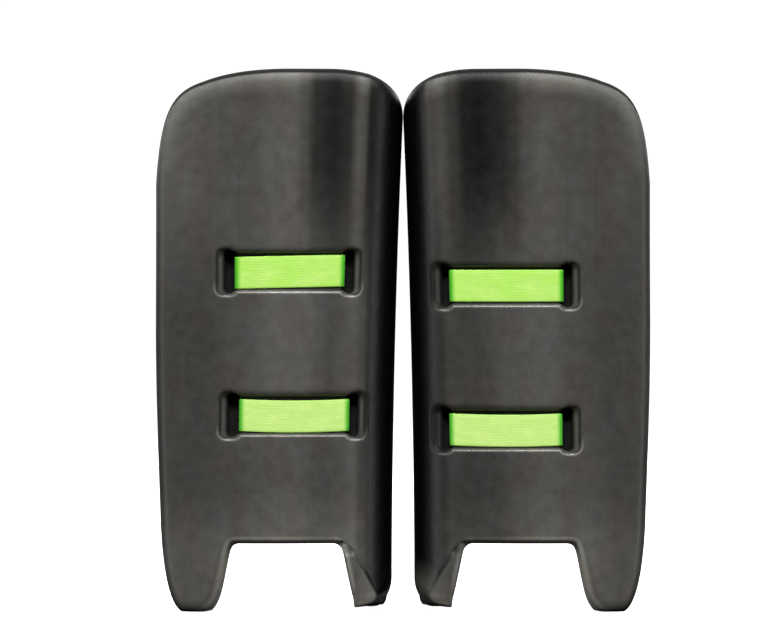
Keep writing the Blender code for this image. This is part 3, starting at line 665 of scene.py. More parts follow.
@dataclass(frozen=True)
class FoamFinish:
    """Satin charcoal skin of moulded foam, with fine grain and faint upright streaks,
    and painted light and shade: tones across the sheet, highlights on the lips, rims
    and lug, and shade along the outer rim, in the grooves and in the recesses.
    """

    side: Side
    colour: Colour = (0.0700, 0.0638, 0.0560)
    cool: Colour = (0.0598, 0.0612, 0.0566)
    roughness: float = 0.34
    grain_scale: float = 1500.0
    cell_scale: float = 620.0
    streaks: tuple[float, ...] = (0.0700, 0.1046, 0.1830)

    @property
    def painted_light(self) -> FoamPaintedLight:
        """The painted light and shade levels of this side's skin."""
        return FOAM_PAINTED_LIGHT[self.side]

    def tone_with_painted_light(self, n: NodeSheet, s: Socket, z: Socket) -> Socket:
        """Return the painted light and shade of the skin at a place on the sheet."""
        across = n.math("DIVIDE", s, FORM.width)
        foot, middle, top = (
            n.tint(n.ramp(across, [(place, 0.5 * level) for place, level in stops]), 2.0)
            for stops in (self.painted_light.foot, self.painted_light.middle, self.painted_light.top)
        )
        low = n.mix(n.span(z, 0.150, 0.270, 0.0, 1.0), foot, middle)
        return n.mix(n.span(z, 0.330, 0.540, 0.0, 1.0), low, top)

    @staticmethod
    def frame_gap(
        n: NodeSheet, s: Socket, z: Socket,
        span: tuple[float, float], height: float, half: float, radius: float,
    ) -> Socket:
        """Return the distance outside a rounded frame on the sheet, negative inside."""
        middle = 0.5 * (span[0] + span[1])
        reach = 0.5 * (span[1] - span[0]) - radius
        along = n.minus(n.math("ABSOLUTE", n.minus(s, middle)), reach)
        beside = n.minus(n.math("ABSOLUTE", n.minus(z, height)), half - radius)
        far = n.math("POWER", n.most(along, 0.0), 2.0)
        far = n.plus(far, n.math("POWER", n.most(beside, 0.0), 2.0))
        within = n.least(n.most(along, beside), 0.0)
        return n.minus(n.plus(n.math("SQRT", far), within), radius)

    def lips(
        self, n: NodeSheet, s: Socket, z: Socket,
    ) -> tuple[Socket, Socket]:
        """Return the mask of the painted highlight on the lower lips, which are also made glossier, and the
        mask of the painted shade in the grooves inside the mouths.
        """
        lip_highlight_and_gloss: object = 0.0
        groove_shade: object = 0.0
        for recess in RECESSES[self.side].values():
            below = n.span(n.minus(z, recess.height), -0.0240, -0.0080, 1.0, 0.0)
            bed = self.frame_gap(n, s, z, (recess.outer, recess.inner), recess.height, 0.0259, 0.004)
            for start, end, sign in (
                (recess.outer - 0.0199, recess.outer + 0.0123, -1.0),
                (recess.inner - 0.0123, recess.inner + 0.0199, 1.0),
            ):
                mouth = self.frame_gap(n, s, z, (start, end), recess.height, 0.0310, 0.0117)
                bed = n.least(bed, mouth)
                slot = recess.outer if sign < 0.0 else recess.inner
                beyond = n.times(n.minus(s, slot), sign)
                # Painted shade in the groove inside each mouth.
                groove_shade = n.most(groove_shade, n.times(
                    n.span(mouth, -0.0030, -0.0016, 1.0, 0.0), n.span(mouth, -0.0066, -0.0046, 0.0, 1.0),
                    n.span(beyond, 0.0040, 0.0090, 0.0, 1.0),
                ))
            # Band along the lower lip that gets the painted highlight.
            edge = n.times(n.span(bed, -0.0032, -0.0018, 0.0, 1.0), n.span(bed, -0.0010, 0.0006, 1.0, 0.0))
            lip_highlight_and_gloss = n.most(lip_highlight_and_gloss, n.times(edge, below))
        return lip_highlight_and_gloss, groove_shade

    def lug_painted_light(self, n: NodeSheet, s: Socket, z: Socket, tone_with_painted_light: Socket) -> Socket:
        """Return the painted light with the inner lug's toe and slanted face added as painted light, and a
        painted highlight on the slanted face's top.

        Args:
            n: the material's nodes.
            s: the place across the sheet.
            z: the height.
            tone_with_painted_light: the painted light and shade of the skin without them.

        Returns:
            The painted light and shade of the whole skin.
        """
        # Painted light on the inner lug's toe.
        toe = n.times(n.span(z, 0.020, 0.065, self.painted_light.toe, 0.0), n.span(s, 0.262, 0.280, 0.0, 1.0))
        tone_with_painted_light = n.most(tone_with_painted_light, toe)
        # Painted light on the slanted face, with a painted highlight at its top.
        facet = n.span(z, 0.006, 0.030, 0.48 * self.painted_light.facet, self.painted_light.facet)
        gleam = n.times(n.span(z, 0.062, 0.070, 0.0, 1.0), n.span(z, 0.078, 0.083, 1.0, 0.0))
        facet = n.times(facet, n.plus(1.0, n.times(gleam, self.painted_light.gleam)))
        return n.mix(n.value("facet"), tone_with_painted_light, n.tint((1.0, 1.0, 1.0), facet))

    def streak_levels(self, n: NodeSheet, s: Socket, z: Socket) -> list[Socket]:
        """Return the level of each faint upright streak in the upper skin."""
        levels = []
        for place in self.streaks:
            line = n.span(n.math("ABSOLUTE", n.minus(s, place)), 0.0004, 0.0017, 0.10, 0.0)
            reach = n.times(n.span(z, 0.330, 0.420, 0.0, 1.0), n.span(z, 0.500, 0.560, 1.0, 0.0))
            levels.append(n.rest(n.times(line, reach)))
        return levels

    def build(self) -> Material:
        """Return the finished material."""
        n = NodeSheet("foam_skin_" + self.side.value)
        sheet = n.attribute("sheet")
        s, z, d = n.split(sheet)
        # The pit value is the mask of painted shade in the slot mouths and strap channels.
        rim, notch, pit_shade_mask = (n.value(name) for name in ("rim", "notch", "pit_shade_mask"))
        behind = n.span(d, 0.018, 0.030, 0.0, 1.0)
        front = n.rest(behind)
        mottle = n.noise(sheet, 62.0, 5.0, 0.65)
        patches = n.noise(n.scaled(sheet, (1.0, 0.55, 1.0)), 26.0, 3.0, 0.55)
        grain = n.noise(sheet, self.grain_scale, 2.0, 0.5)
        # Painted light and shade across the sheet, with a flat level at the back.
        tone_with_painted_light = n.mix(behind, self.lug_painted_light(n, s, z, self.tone_with_painted_light(n, s, z)), (0.80, 0.80, 0.80, 1.0))
        # Painted shade along the outer rim, where the rounded edge turns away from the lights; the same mask
        # also dulls the roughness.
        inset = n.minus(rim, n.span(z, 0.560, 0.625, 0.0, 0.0022))
        lining_wear_and_rim_shade = n.times(n.span(inset, 0.0016, 0.0040, 1.0, 0.0), front, n.rest(notch))
        # Painted light along the rounded rim of the foot notch.
        notch_rim_light = n.times(notch, front, n.span(rim, 0.0015, 0.0075, 2.2, 0.0))
        # Painted highlight on the skin under the top rim.
        crown_highlight = n.times(n.span(rim, 0.0075, 0.0320, self.painted_light.crown_highlight, 0.0), n.span(z, 0.500, 0.610, 0.0, 1.0))
        shallow = n.span(d, 0.004, 0.010, 1.0, 0.0)
        # Painted highlight on the lower lips and painted shade in the grooves, kept to the shallow skin.
        lip_highlight_and_gloss, groove_shade = (n.times(mask, shallow) for mask in self.lips(n, s, z))
        level = n.times(
            n.span(n.noise(sheet, 12.0, 5.0, 0.60), 0.30, 0.70, 0.92, 1.08),
            n.span(mottle, 0.30, 0.70, 0.90, 1.10),
            n.span(patches, 0.30, 0.70, 0.92, 1.08),
            n.span(n.noise(n.scaled(sheet, (1.0, 0.05, 1.0)), 230.0, 3.0, 0.60), 0.35, 0.65, 0.985, 1.015),
            n.span(grain, 0.30, 0.70, 0.88, 1.12),
            *self.streak_levels(n, s, z),
            # Painted light and shade below: shade along the outer rim, light on the notch rim, a highlight
            # under the top rim, light near the foot, a highlight on the lower lips, shade in the grooves and
            # in the pits.
            n.rest(n.times(lining_wear_and_rim_shade, 0.95)),
            n.plus(1.0, notch_rim_light),
            n.plus(1.0, crown_highlight),
            # Painted light: the skin near the foot is made lighter.
            n.span(z, 0.050, 0.160, self.painted_light.foot_light, 1.0),
            n.plus(1.0, n.times(lip_highlight_and_gloss, 1.5)),
            n.rest(n.times(groove_shade, 0.72)),
            n.rest(pit_shade_mask),
        )
        skin = n.mix(n.span(patches, 0.35, 0.65, 0.0, 1.0), (*self.colour, 1.0), (*self.cool, 1.0))
        n.feed(n.shader.inputs["Base Color"], n.mix(1.0, n.tint(skin, level), tone_with_painted_light, "MULTIPLY"))
        rough = n.span(mottle, 0.25, 0.75, self.roughness - 0.04, self.roughness + 0.06)
        shoulder = n.times(n.span(rim, 0.0120, 0.0170, 0.40, 0.0), n.span(z, 0.480, 0.560, 0.0, 1.0))
        dull = n.most(pit_shade_mask, lining_wear_and_rim_shade, n.times(groove_shade, 0.6), shoulder)
        rough = n.plus(n.minus(rough, n.times(lip_highlight_and_gloss, 0.08)), n.times(dull, 0.55))
        n.feed(n.shader.inputs["Roughness"], rough)
        n.shader.inputs["Specular IOR Level"].default_value = 0.40
        waves = n.bump(n.noise(n.scaled(sheet, (1.0, 0.45, 1.0)), 42.0, 2.0, 0.5), 0.0014, 0.35)
        leather = n.bump(n.cells(sheet, self.cell_scale), 0.00035, 0.22, waves)
        n.feed(n.shader.inputs["Normal"], n.bump(grain, 0.00025, 0.30, leather))
        return n.material


@dataclass(frozen=True)
class LiningFinish:
    """Black knitted lining with a fine diamond mesh."""

    colour: Colour = (0.030, 0.030, 0.033)
    pitch: float = 0.0030

    def build(self) -> Material:
        """Return the finished material."""
        n = NodeSheet("lining_knit")
        sheet = n.attribute("sheet")
        s, z, _ = n.split(sheet)
        turn = 2.0 * math.pi / self.pitch
        a = n.math("SINE", n.times(n.plus(s, z), turn))
        b = n.math("SINE", n.times(n.minus(s, z), turn))
        knit = n.times(a, b)
        fuzz = n.noise(sheet, 1800.0, 2.0, 0.6)
        lining_wear_and_rim_shade = n.noise(sheet, 22.0, 4.0, 0.6)
        level = n.times(
            n.span(knit, -0.8, 0.9, 0.62, 1.35), n.span(lining_wear_and_rim_shade, 0.3, 0.7, 0.85, 1.25),
            n.span(fuzz, 0.3, 0.7, 0.88, 1.12),
        )
        n.feed(n.shader.inputs["Base Color"], n.tint(self.colour, level))
        n.feed(n.shader.inputs["Roughness"], n.span(knit, -1.0, 1.0, 0.92, 0.74))
        n.shader.inputs["Sheen Weight"].default_value = 0.35
        n.shader.inputs["Sheen Roughness"].default_value = 0.45
        n.shader.inputs["Specular IOR Level"].default_value = 0.25
        weave = n.bump(knit, 0.0006, 0.55)
        n.feed(n.shader.inputs["Normal"], n.bump(fuzz, 0.0003, 0.30, weave))
        return n.material


@dataclass(frozen=True)
class WebbingFinish:
    """Bright green woven webbing: lengthwise ribs, cross picks and a selvedge, with painted light that makes
    the lower strap paler than the upper one and painted shade where the webbing turns into the slots.
    """

    colour: Colour = (0.560, 0.985, 0.150)
    deep: Colour = (0.300, 0.760, 0.060)
    pale: Colour = (0.700, 0.990, 0.290)
    # Painted shade colour of the webbing where it turns into a slot.
    tuck_shade: Colour = (0.050, 0.560, 0.004)
    rib_pitch: float = 0.00190
    pick_pitch: float = 0.00125

    def build(self) -> Material:
        """Return the finished material."""
        n = NodeSheet("green_webbing_weave")
        place = n.uv("weave")
        along, across, _ = n.split(place)
        rib = n.math("SINE", n.times(across, 2.0 * math.pi / self.rib_pitch))
        flip = n.math("SIGN", n.math("SINE", n.times(across, math.pi / self.rib_pitch)))
        pick = n.math("SINE", n.plus(n.times(along, 2.0 * math.pi / self.pick_pitch),
                                     n.times(flip, 0.5 * math.pi)))
        weave = n.plus(n.times(rib, 0.62), n.times(pick, 0.38))
        long_cloud = n.noise(n.scaled(place, (0.16, 1.0, 1.0)), 150.0, 4.0, 0.60)
        cloud = n.noise(n.scaled(place, (1.0, 1.6, 1.0)), 28.0, 3.0, 0.5)
        thread = n.noise(n.scaled(place, (0.10, 1.0, 1.0)), 950.0, 2.0, 0.5)
        _, _, height = n.split(n.object_place())
        # Painted light: the lower strap, which faces up into the top light, is paler than the upper one.
        tone_with_painted_light = n.mix(n.span(height, 0.28, 0.36, 0.0, 1.0), (*self.pale, 1.0), (*self.colour, 1.0))
        tone_with_painted_light = n.mix(n.span(cloud, 0.35, 0.65, 0.0, 0.45), tone_with_painted_light, (*self.pale, 1.0))
        tone_with_painted_light = n.mix(n.span(long_cloud, 0.38, 0.72, 0.22, 0.0), tone_with_painted_light, (*self.deep, 1.0))
        # Painted shade where the webbing turns into a slot.
        tone_with_painted_light = n.mix(n.times(n.value("tuck"), 0.92), tone_with_painted_light, (*self.tuck_shade, 1.0))
        edge = n.span(n.math("ABSOLUTE", across), 0.0168, 0.0190, 0.0, 0.45)
        tone_with_painted_light = n.mix(edge, tone_with_painted_light, (*self.deep, 1.0))
        level = n.times(n.span(weave, -1.0, 1.0, 0.985, 1.03), n.span(thread, 0.3, 0.7, 0.96, 1.04))
        n.feed(n.shader.inputs["Base Color"], n.tint(tone_with_painted_light, level))
        n.feed(n.shader.inputs["Roughness"], n.span(weave, -1.0, 1.0, 0.72, 0.52))
        n.shader.inputs["Sheen Weight"].default_value = 0.10
        n.shader.inputs["Sheen Roughness"].default_value = 0.40
        n.shader.inputs["Specular IOR Level"].default_value = 0.30
        n.feed(n.shader.inputs["Normal"], n.bump(thread, 0.00015, 0.30, n.bump(weave, 0.00028, 0.26)))
        return n.material


@dataclass(frozen=True)
class PlasticFinish:
    """Black moulded plastic with a fine spark texture and scuffed high spots."""

    colour: Colour = (0.013, 0.013, 0.014)

    def build(self) -> Material:
        """Return the finished material."""
        n = NodeSheet("moulded_buckle_plastic")
        place = n.object_place()
        spark = n.noise(place, 2600.0, 2.0, 0.5)
        scuff = n.noise(n.scaled(place, (1.0, 1.0, 0.2)), 420.0, 5.0, 0.65)
        cloud = n.noise(place, 60.0, 3.0, 0.5)
        level = n.times(n.span(spark, 0.3, 0.7, 0.85, 1.2), n.span(scuff, 0.60, 0.78, 1.0, 1.9))
        n.feed(n.shader.inputs["Base Color"], n.tint(self.colour, level))
        rough = n.plus(n.span(cloud, 0.3, 0.7, 0.30, 0.40), n.span(scuff, 0.55, 0.75, 0.0, 0.14))
        n.feed(n.shader.inputs["Roughness"], rough)
        n.shader.inputs["Specular IOR Level"].default_value = 0.50
        n.feed(n.shader.inputs["Normal"], n.bump(spark, 0.00012, 0.35))
        return n.material


@dataclass(frozen=True)
class ThreadFinish:
    """Twisted sewing thread or cord binding in one colour."""

    name: str
    colour: Colour

    def build(self) -> Material:
        """Return the finished material."""
        n = NodeSheet(self.name)
        place = n.object_place()
        twist = n.noise(place, 1700.0, 2.0, 0.6)
        cloud = n.noise(place, 90.0, 2.0, 0.5)
        level = n.times(n.span(twist, 0.3, 0.7, 0.70, 1.30), n.span(cloud, 0.3, 0.7, 0.90, 1.10))
        n.feed(n.shader.inputs["Base Color"], n.tint(self.colour, level))
        n.feed(n.shader.inputs["Roughness"], n.span(twist, 0.3, 0.7, 0.80, 0.62))
        n.shader.inputs["Sheen Weight"].default_value = 0.20
        n.feed(n.shader.inputs["Normal"], n.bump(twist, 0.0003, 0.50))
        return n.material


@dataclass(frozen=True)
class FloorFinish:
    """Pale studio floor that stays evenly white."""

    colour: Colour = (0.90, 0.90, 0.90)
    glow: float = 0.93

    def build(self) -> Material:
        """Return the finished material."""
        n = NodeSheet("pale_floor")
        cloud = n.noise(n.object_place(), 2.0, 2.0, 0.5)
        n.feed(n.shader.inputs["Base Color"], n.tint(self.colour, n.span(cloud, 0.3, 0.7, 0.99, 1.01)))
        n.shader.inputs["Roughness"].default_value = 0.9
        n.shader.inputs["Specular IOR Level"].default_value = 0.1
        n.shader.inputs["Emission Color"].default_value = (1.0, 1.0, 1.0, 1.0)
        away = n.node("ShaderNodeVectorMath", operation="LENGTH")
        n.feed(away.inputs[0], n.object_place())
        n.feed(n.shader.inputs["Emission Strength"], n.span(away.outputs["Value"], 0.5, 1.5, self.glow, 1.1))
        return n.material


class Finishes:
    """Every finish of the pair, built once."""

    def __init__(self) -> None:
        """Build the finishes."""
        self.foam = {side: FoamFinish(side).build() for side in Side}
        self.lining = LiningFinish().build()
        self.webbing = WebbingFinish().build()
        self.plastic = PlasticFinish().build()
        self.binding = ThreadFinish("binding_cord", (0.030, 0.030, 0.032)).build()
        self.dark_thread = ThreadFinish("grey_thread", (0.110, 0.110, 0.112)).build()
        self.green_thread = ThreadFinish("green_thread", (0.170, 0.420, 0.050)).build()


def dress(
    piece: Piece,
    body: Optional[str],
    slot: str,
    finish: Material,
    stands_for: Sequence[str] = (),
) -> Piece:
    """Give a finished piece its material and its body, hide the CAD nodes it replaces and log its slot.

    Args:
        piece: the finished piece.
        body: the moving body it rides on, or None where it is blended.
        slot: the record's material slot.
        finish: the material.
        stands_for: CAD nodes that the piece replaces.

    Returns:
        The same piece.
    """
    piece.data.materials.clear()
    piece.data.materials.append(finish)
    if body is not None:
        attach(piece, body)
    if stands_for:
        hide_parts(*stands_for)
    log.info("%s: %d faces, %s", piece.name, len(piece.data.polygons), slot)
    return piece


# ---------------------------------------------------------------- foam shell
@dataclass
class FoamShell:
    """The moulded foam shell of one guard."""

    side: Side
    face_rounding: float = 0.013
    back_rounding: float = 0.006
    deepest_rounding: float = 0.023
    face_steps: int = 8
    back_steps: int = 4
    slot_half_length: float = 0.0075
    channel_half_height: float = 0.0217
    channel_depth: float = 0.0080
    channel_lip: float = 0.0042
    upper_lip: float = 0.0074
    pocket_half_height: float = 0.0262
    pocket_lip: float = 0.0048
    pocket_profile: Profile = (
        (-0.006, 0.0076), (0.0, 0.0076), (0.0002, 0.0076), (0.0008, 0.0076), (0.0017, 0.0075),
        (0.0030, 0.0073), (0.0040, 0.0069), (0.0048, 0.0060), (0.0056, 0.0046), (0.0068, 0.0030),
        (0.0086, 0.0015), (0.0115, 0.0006), (0.0195, 0.0),
    )
    mouth_shift: float = 0.0040
    mouth_half_length: float = 0.0062
    mouth_half_height: float = 0.0225
    mouth_profile: Profile = (
        (0.0270, 0.0), (0.0310, 0.0), (0.0325, 0.0006), (0.0340, 0.0022), (0.0450, 0.0022),
    )
    voxel: float = 0.0024
    easing: int = 3

    def outline(self) -> tuple[list[Vector], list[float]]:
        """Return the flat outline and the face rounding at each of its points."""
        w = FORM.width
        h = FORM.height
        r = self.face_rounding
        runs = (
            (straight((0.040, 0.001), (0.060, 0.001), 6), 0.012, 0.012),
            (bezier(((0.060, 0.001), (0.072, 0.002), (0.080, 0.014), (0.084, 0.032)), 14), 0.012, 0.014),
            (bezier(((0.084, 0.032), (0.088, 0.048), (0.090, 0.062), (0.093, 0.073)), 10), 0.014, 0.008),
            (bezier(((0.093, 0.073), (0.095, 0.080), (0.098, 0.082), (0.104, 0.082)), 8), 0.008, 0.005),
            (straight((0.104, 0.082), (0.228, 0.082), 20), 0.005, 0.005),
            (bezier(((0.228, 0.082), (0.237, 0.082), (0.243, 0.080), (0.2455, 0.073)), 8), 0.005, 0.003),
            (bezier(((0.2455, 0.073), (0.2505, 0.054), (0.2560, 0.030), (0.2640, 0.008)), 12), 0.003, 0.003),
            (bezier(((0.2640, 0.008), (0.280, 0.0080), (0.300, 0.0072), (0.320, 0.0052)), 12), 0.003, 0.032),
            (bezier(((0.320, 0.0052), (0.336, 0.0034), (0.348, 0.0004), (0.360, -0.003)), 8), 0.032, 0.030),
            (straight((0.360, -0.003), (w - 0.020, -0.003), 4), 0.030, 0.012),
            (corner((w - 0.020, 0.017), (0.020, 0.020), -90, 0, 12), 0.012, 0.012),
            (straight((w, 0.017), (w, 0.470), 44), 0.012, 0.012),
            (corner((0.215, 0.470), (w - 0.215, 0.170), 0, 90, 44), 0.012, r),
            (straight((0.215, h), (0.165, h), 6), r, r),
            (bezier(((0.165, h), (0.120, h), (0.085, 0.6345), (0.060, 0.6255)), 18), r, r),
            (bezier(((0.060, 0.6255), (0.020, 0.614), (0.006, 0.590), (0.0, 0.505)), 34), r, r),
            (straight((0.0, 0.505), (0.0, 0.350), 12), r, r),
            (bezier(((0.0, 0.350), (0.0, 0.260), (0.005, 0.180), (0.009, 0.100)), 20), r, r),
            (bezier(((0.009, 0.100), (0.012, 0.060), (0.020, 0.004), (0.040, 0.001)), 22), r, 0.012),
        )
        points: list[Vector] = []
        rounding: list[float] = []
        for run, first, last in runs:
            for i, p in enumerate(run):
                points.append(p)
                rounding.append(first + (last - first) * i / len(run))
        return points, rounding

    @staticmethod
    def inward(points: Sequence[Vector]) -> list[Vector]:
        """Return each outline point's mitred direction into the sheet."""
        out = []
        for i in range(len(points)):
            before = (points[i] - points[i - 1]).normalized()
            after = (points[(i + 1) % len(points)] - points[i]).normalized()
            n1 = Vector((-before.y, before.x))
            n2 = Vector((-after.y, after.x))
            mean = (n1 + n2).normalized()
            out.append(mean / max(mean.dot(n1), 0.6))
        for _ in range(5):
            out = [0.25 * out[i - 1] + 0.5 * n + 0.25 * out[(i + 1) % len(out)] for i, n in enumerate(out)]
        return out

    @staticmethod
    def lip(depth: float, radius: float) -> float:
        """Return how far a rounded lip stands back from its wall at this depth."""
        if depth >= radius:
            return 0.0
        return radius - math.sqrt(radius * radius - (radius - max(depth, 0.0)) ** 2)

    def blank(self) -> Piece:
        """Return the flat sheet with its rounded rim, before the recesses."""
        points, rounding = self.outline()
        normals = self.inward(points)
        rings = []
        for k in range(self.face_steps + 1):
            a = 0.5 * math.pi * (1.0 - k / self.face_steps)
            ring = []
            for p, n, r in zip(points, normals, rounding):
                q = p + n * r * (1.0 - math.cos(a))
                ring.append((q.x, q.y, min(r, self.deepest_rounding) * (1.0 - math.sin(a))))
            rings.append(ring)
        for k in range(self.back_steps + 1):
            a = 0.5 * math.pi * k / self.back_steps
            inset = self.back_rounding * (1.0 - math.cos(a))
            depth = FORM.foam - self.back_rounding * (1.0 - math.sin(a))
            rings.append([(*(p + n * inset), depth) for p, n in zip(points, normals)])
        return lofted(rings, self.side.name("shell_form"))

    def channel(self, recess: Recess) -> Piece:
        """Return the cutter of the shallow channel that a strap lies in."""
        depths = (-0.006, 0.0, 0.0002, 0.0007, 0.0014, 0.0022, 0.0032, 0.0042, 0.0056, self.channel_depth)
        rings = []
        for depth in depths:
            top = self.channel_half_height + self.lip(depth, self.upper_lip)
            bottom = self.channel_half_height + self.lip(depth, self.channel_lip)
            ring = rounded_rectangle(recess.outer, recess.inner, 0.5 * (top + bottom), 0.0005, 1)
            rings.append([(s, recess.height + 0.5 * (top - bottom) + z, depth) for s, z in ring])
        return lofted(rings, "channel_cutter")

    def pocket(self, recess: Recess, at_outer_end: bool) -> Piece:
        """Return the cutter of the flared mouth of one slot."""
        rings = []
        lip = self.pocket_lip
        for depth, flare in self.pocket_profile:
            far = self.slot_half_length + flare + self.lip(depth, lip)
            near = self.slot_half_length + self.lip(depth, lip)
            half = self.pocket_half_height + self.lip(depth, lip) - 0.001 * min(max(depth, 0.0) / 0.018, 1.0)
            radius = 0.0045 + 0.95 * flare
            if at_outer_end:
                ring = rounded_rectangle(recess.outer - far, recess.outer + near, half, radius)
            else:
                ring = rounded_rectangle(recess.inner - near, recess.inner + far, half, radius)
            rings.append([(s, recess.height + z, depth) for s, z in ring])
        return lofted(rings, "pocket_cutter")

    def back_mouth(self, recess: Recess, at_outer_end: bool) -> Piece:
        """Return the cutter of a slot's mouth at the back of the shell."""
        middle = recess.outer + self.mouth_shift if at_outer_end else recess.inner - self.mouth_shift
        rings = []
        for depth, grow in self.mouth_profile:
            reach = self.mouth_half_length + grow
            half = self.mouth_half_height + grow
            ring = rounded_rectangle(middle - reach, middle + reach, half, 0.004 + grow)
            rings.append([(s, recess.height + z, depth) for s, z in ring])
        return lofted(rings, "mouth_cutter")

    @staticmethod
    def lug_facet() -> Piece:
        """Return the cutter of the slanted face on the inner lug's notch side."""
        rings = []
        edge = FORM.wing + FORM.front
        back = FORM.foam - 0.005
        for z, face, rear in (
            (0.0820, edge - 0.016, edge - 0.022),
            (0.0710, edge - 0.003, edge - 0.0155),
            (0.0220, edge + 0.0275, edge - 0.0020),
            (-0.0100, edge + 0.0440, edge + 0.0050),
        ):
            slope = (face - rear) / back
            rings.append([
                (face + slope * 0.004, z, -0.004),
                (rear, z, back),
                (edge - 0.050, z, back),
                (edge - 0.050, z, -0.004),
            ])
        return lofted(rings, "lug_cutter")

    @staticmethod
    def carve(blank: Piece, cutter: Piece) -> None:
        """Take a cutter's volume out of the sheet and remove the cutter."""
        apply_modifier(blank, "BOOLEAN", operation="DIFFERENCE", solver="EXACT", object=cutter)
        bpy.data.objects.remove(cutter, do_unlink=True)

    def rim_distance(self, places: Array) -> Array:
        """Return how far each vertex is from the sheet's outline."""
        starts = np.array([tuple(p) for p in self.outline()[0]])
        runs = np.roll(starts, -1, axis=0) - starts
        lengths = np.maximum((runs ** 2).sum(axis=1), 1e-12)
        out = np.zeros(len(places))
        for first in range(0, len(places), 8192):
            gap = places[first:first + 8192, None, :2] - starts
            share = np.clip((gap * runs).sum(axis=2) / lengths, 0.0, 1.0)
            gap = gap - share[:, :, None] * runs
            out[first:first + 8192] = np.sqrt((gap ** 2).sum(axis=2).min(axis=1))
        return out

    def pit_shade(self, places: Array) -> Array:
        """Return how deep each vertex lies in a slot mouth or a strap channel, the mask of the painted shade
        that darkens these hollows.
        """
        s, z, d = places.T
        out = np.zeros(len(places))
        for recess in RECESSES[self.side].values():
            beside = np.abs(z - recess.height)
            in_pocket = beside < self.pocket_half_height + 0.0015
            for middle in (recess.outer, recess.inner):
                near = np.abs(s - middle) < self.slot_half_length + 0.006
                deep = eased(d, 0.0058, 0.0105) * (d < 0.0245)
                out = np.maximum(out, np.where(in_pocket & near, deep, 0.0))
            in_channel = (beside < self.channel_half_height + 0.002) & (s > recess.outer) & (s < recess.inner)
            out = np.maximum(out, np.where(in_channel & (d < 0.012), 0.85 * eased(d, 0.0028, 0.0068), 0.0))
        return out

    @staticmethod
    def facet_mask(places: Array) -> Array:
        """Return 1 on the slanted face of the inner lug and 0 elsewhere."""
        s, z, d = places.T
        inside = (z < 0.081) & (s > 0.228) & (s < 0.330) & (d < 0.0325)
        return np.where(inside, eased(d, 0.0008, 0.0030), 0.0)

    @staticmethod
    def notch_mask(places: Array) -> Array:
        """Return 1 along the top and sides of the foot notch and 0 elsewhere."""
        s, z, _ = places.T
        return eased(s, 0.050, 0.072) * (1.0 - eased(s, 0.262, 0.285)) * (1.0 - eased(z, 0.098, 0.112))

    def stand_flat(self, piece: Piece) -> None:
        """Cut the lugs flat where they stand on the floor."""
        bm = bmesh.new()
        bm.from_mesh(piece.data)
        cut = bmesh.ops.bisect_plane(
            bm, geom=bm.verts[:] + bm.edges[:] + bm.faces[:], dist=1e-6,
            plane_co=(0.0, 0.0, 0.0), plane_no=(0.0, 0.0, 1.0), clear_inner=True,
        )
        rim = [e for e in cut["geom_cut"] if isinstance(e, bmesh.types.BMEdge) and e.is_boundary]
        bmesh.ops.holes_fill(bm, edges=rim, sides=0)
        bmesh.ops.triangulate(bm, faces=[f for f in bm.faces if len(f.verts) > 4], ngon_method="BEAUTY")
        bm.to_mesh(piece.data)
        bm.free()

    def build(self, finishes: Finishes) -> Piece:
        """Shape, bend and dress the shell.

        Args:
            finishes: the materials of the pair.

        Returns:
            The finished shell.
        """
        piece = self.blank()
        self.carve(piece, self.lug_facet())
        for recess in RECESSES[self.side].values():
            self.carve(piece, self.channel(recess))
            for cutter in (self.pocket, self.back_mouth):
                self.carve(piece, cutter(recess, True))
                self.carve(piece, cutter(recess, False))
        exact = bpy.data.objects.new("exact_form", piece.data.copy())
        bpy.context.scene.collection.objects.link(exact)
        apply_modifier(piece, "REMESH", mode="VOXEL", voxel_size=self.voxel, adaptivity=0.0)
        apply_modifier(piece, "SMOOTH", factor=0.5, iterations=self.easing)
        apply_modifier(piece, "SHRINKWRAP", target=exact, wrap_method="NEAREST_SURFACEPOINT")
        apply_modifier(piece, "SMOOTH", factor=0.5, iterations=self.easing)
        bpy.data.objects.remove(exact, do_unlink=True)
        places = read_points(piece)
        keep_sheet_places(piece, places)
        for name, shown in (
            ("rim", self.rim_distance), ("pit_shade_mask", self.pit_shade),
            ("facet", self.facet_mask), ("notch", self.notch_mask),
        ):
            keep_value(piece, name, shown(places))
        bent = places.copy()
        bent[:, 2] *= FORM.thickness(places[:, 0]) / FORM.foam
        write_points(piece, self.side.placed(FORM.bent(bent)))
        self.stand_flat(piece)
        face_outwards(piece)
        shade(piece, 48.0)
        piece.name = self.side.name("foam_shell")
        stands_for = [self.side.name("shell")]
        dress(piece, self.side.guard_body, "moulded_foam", finishes.foam[self.side], stands_for)
        return piece


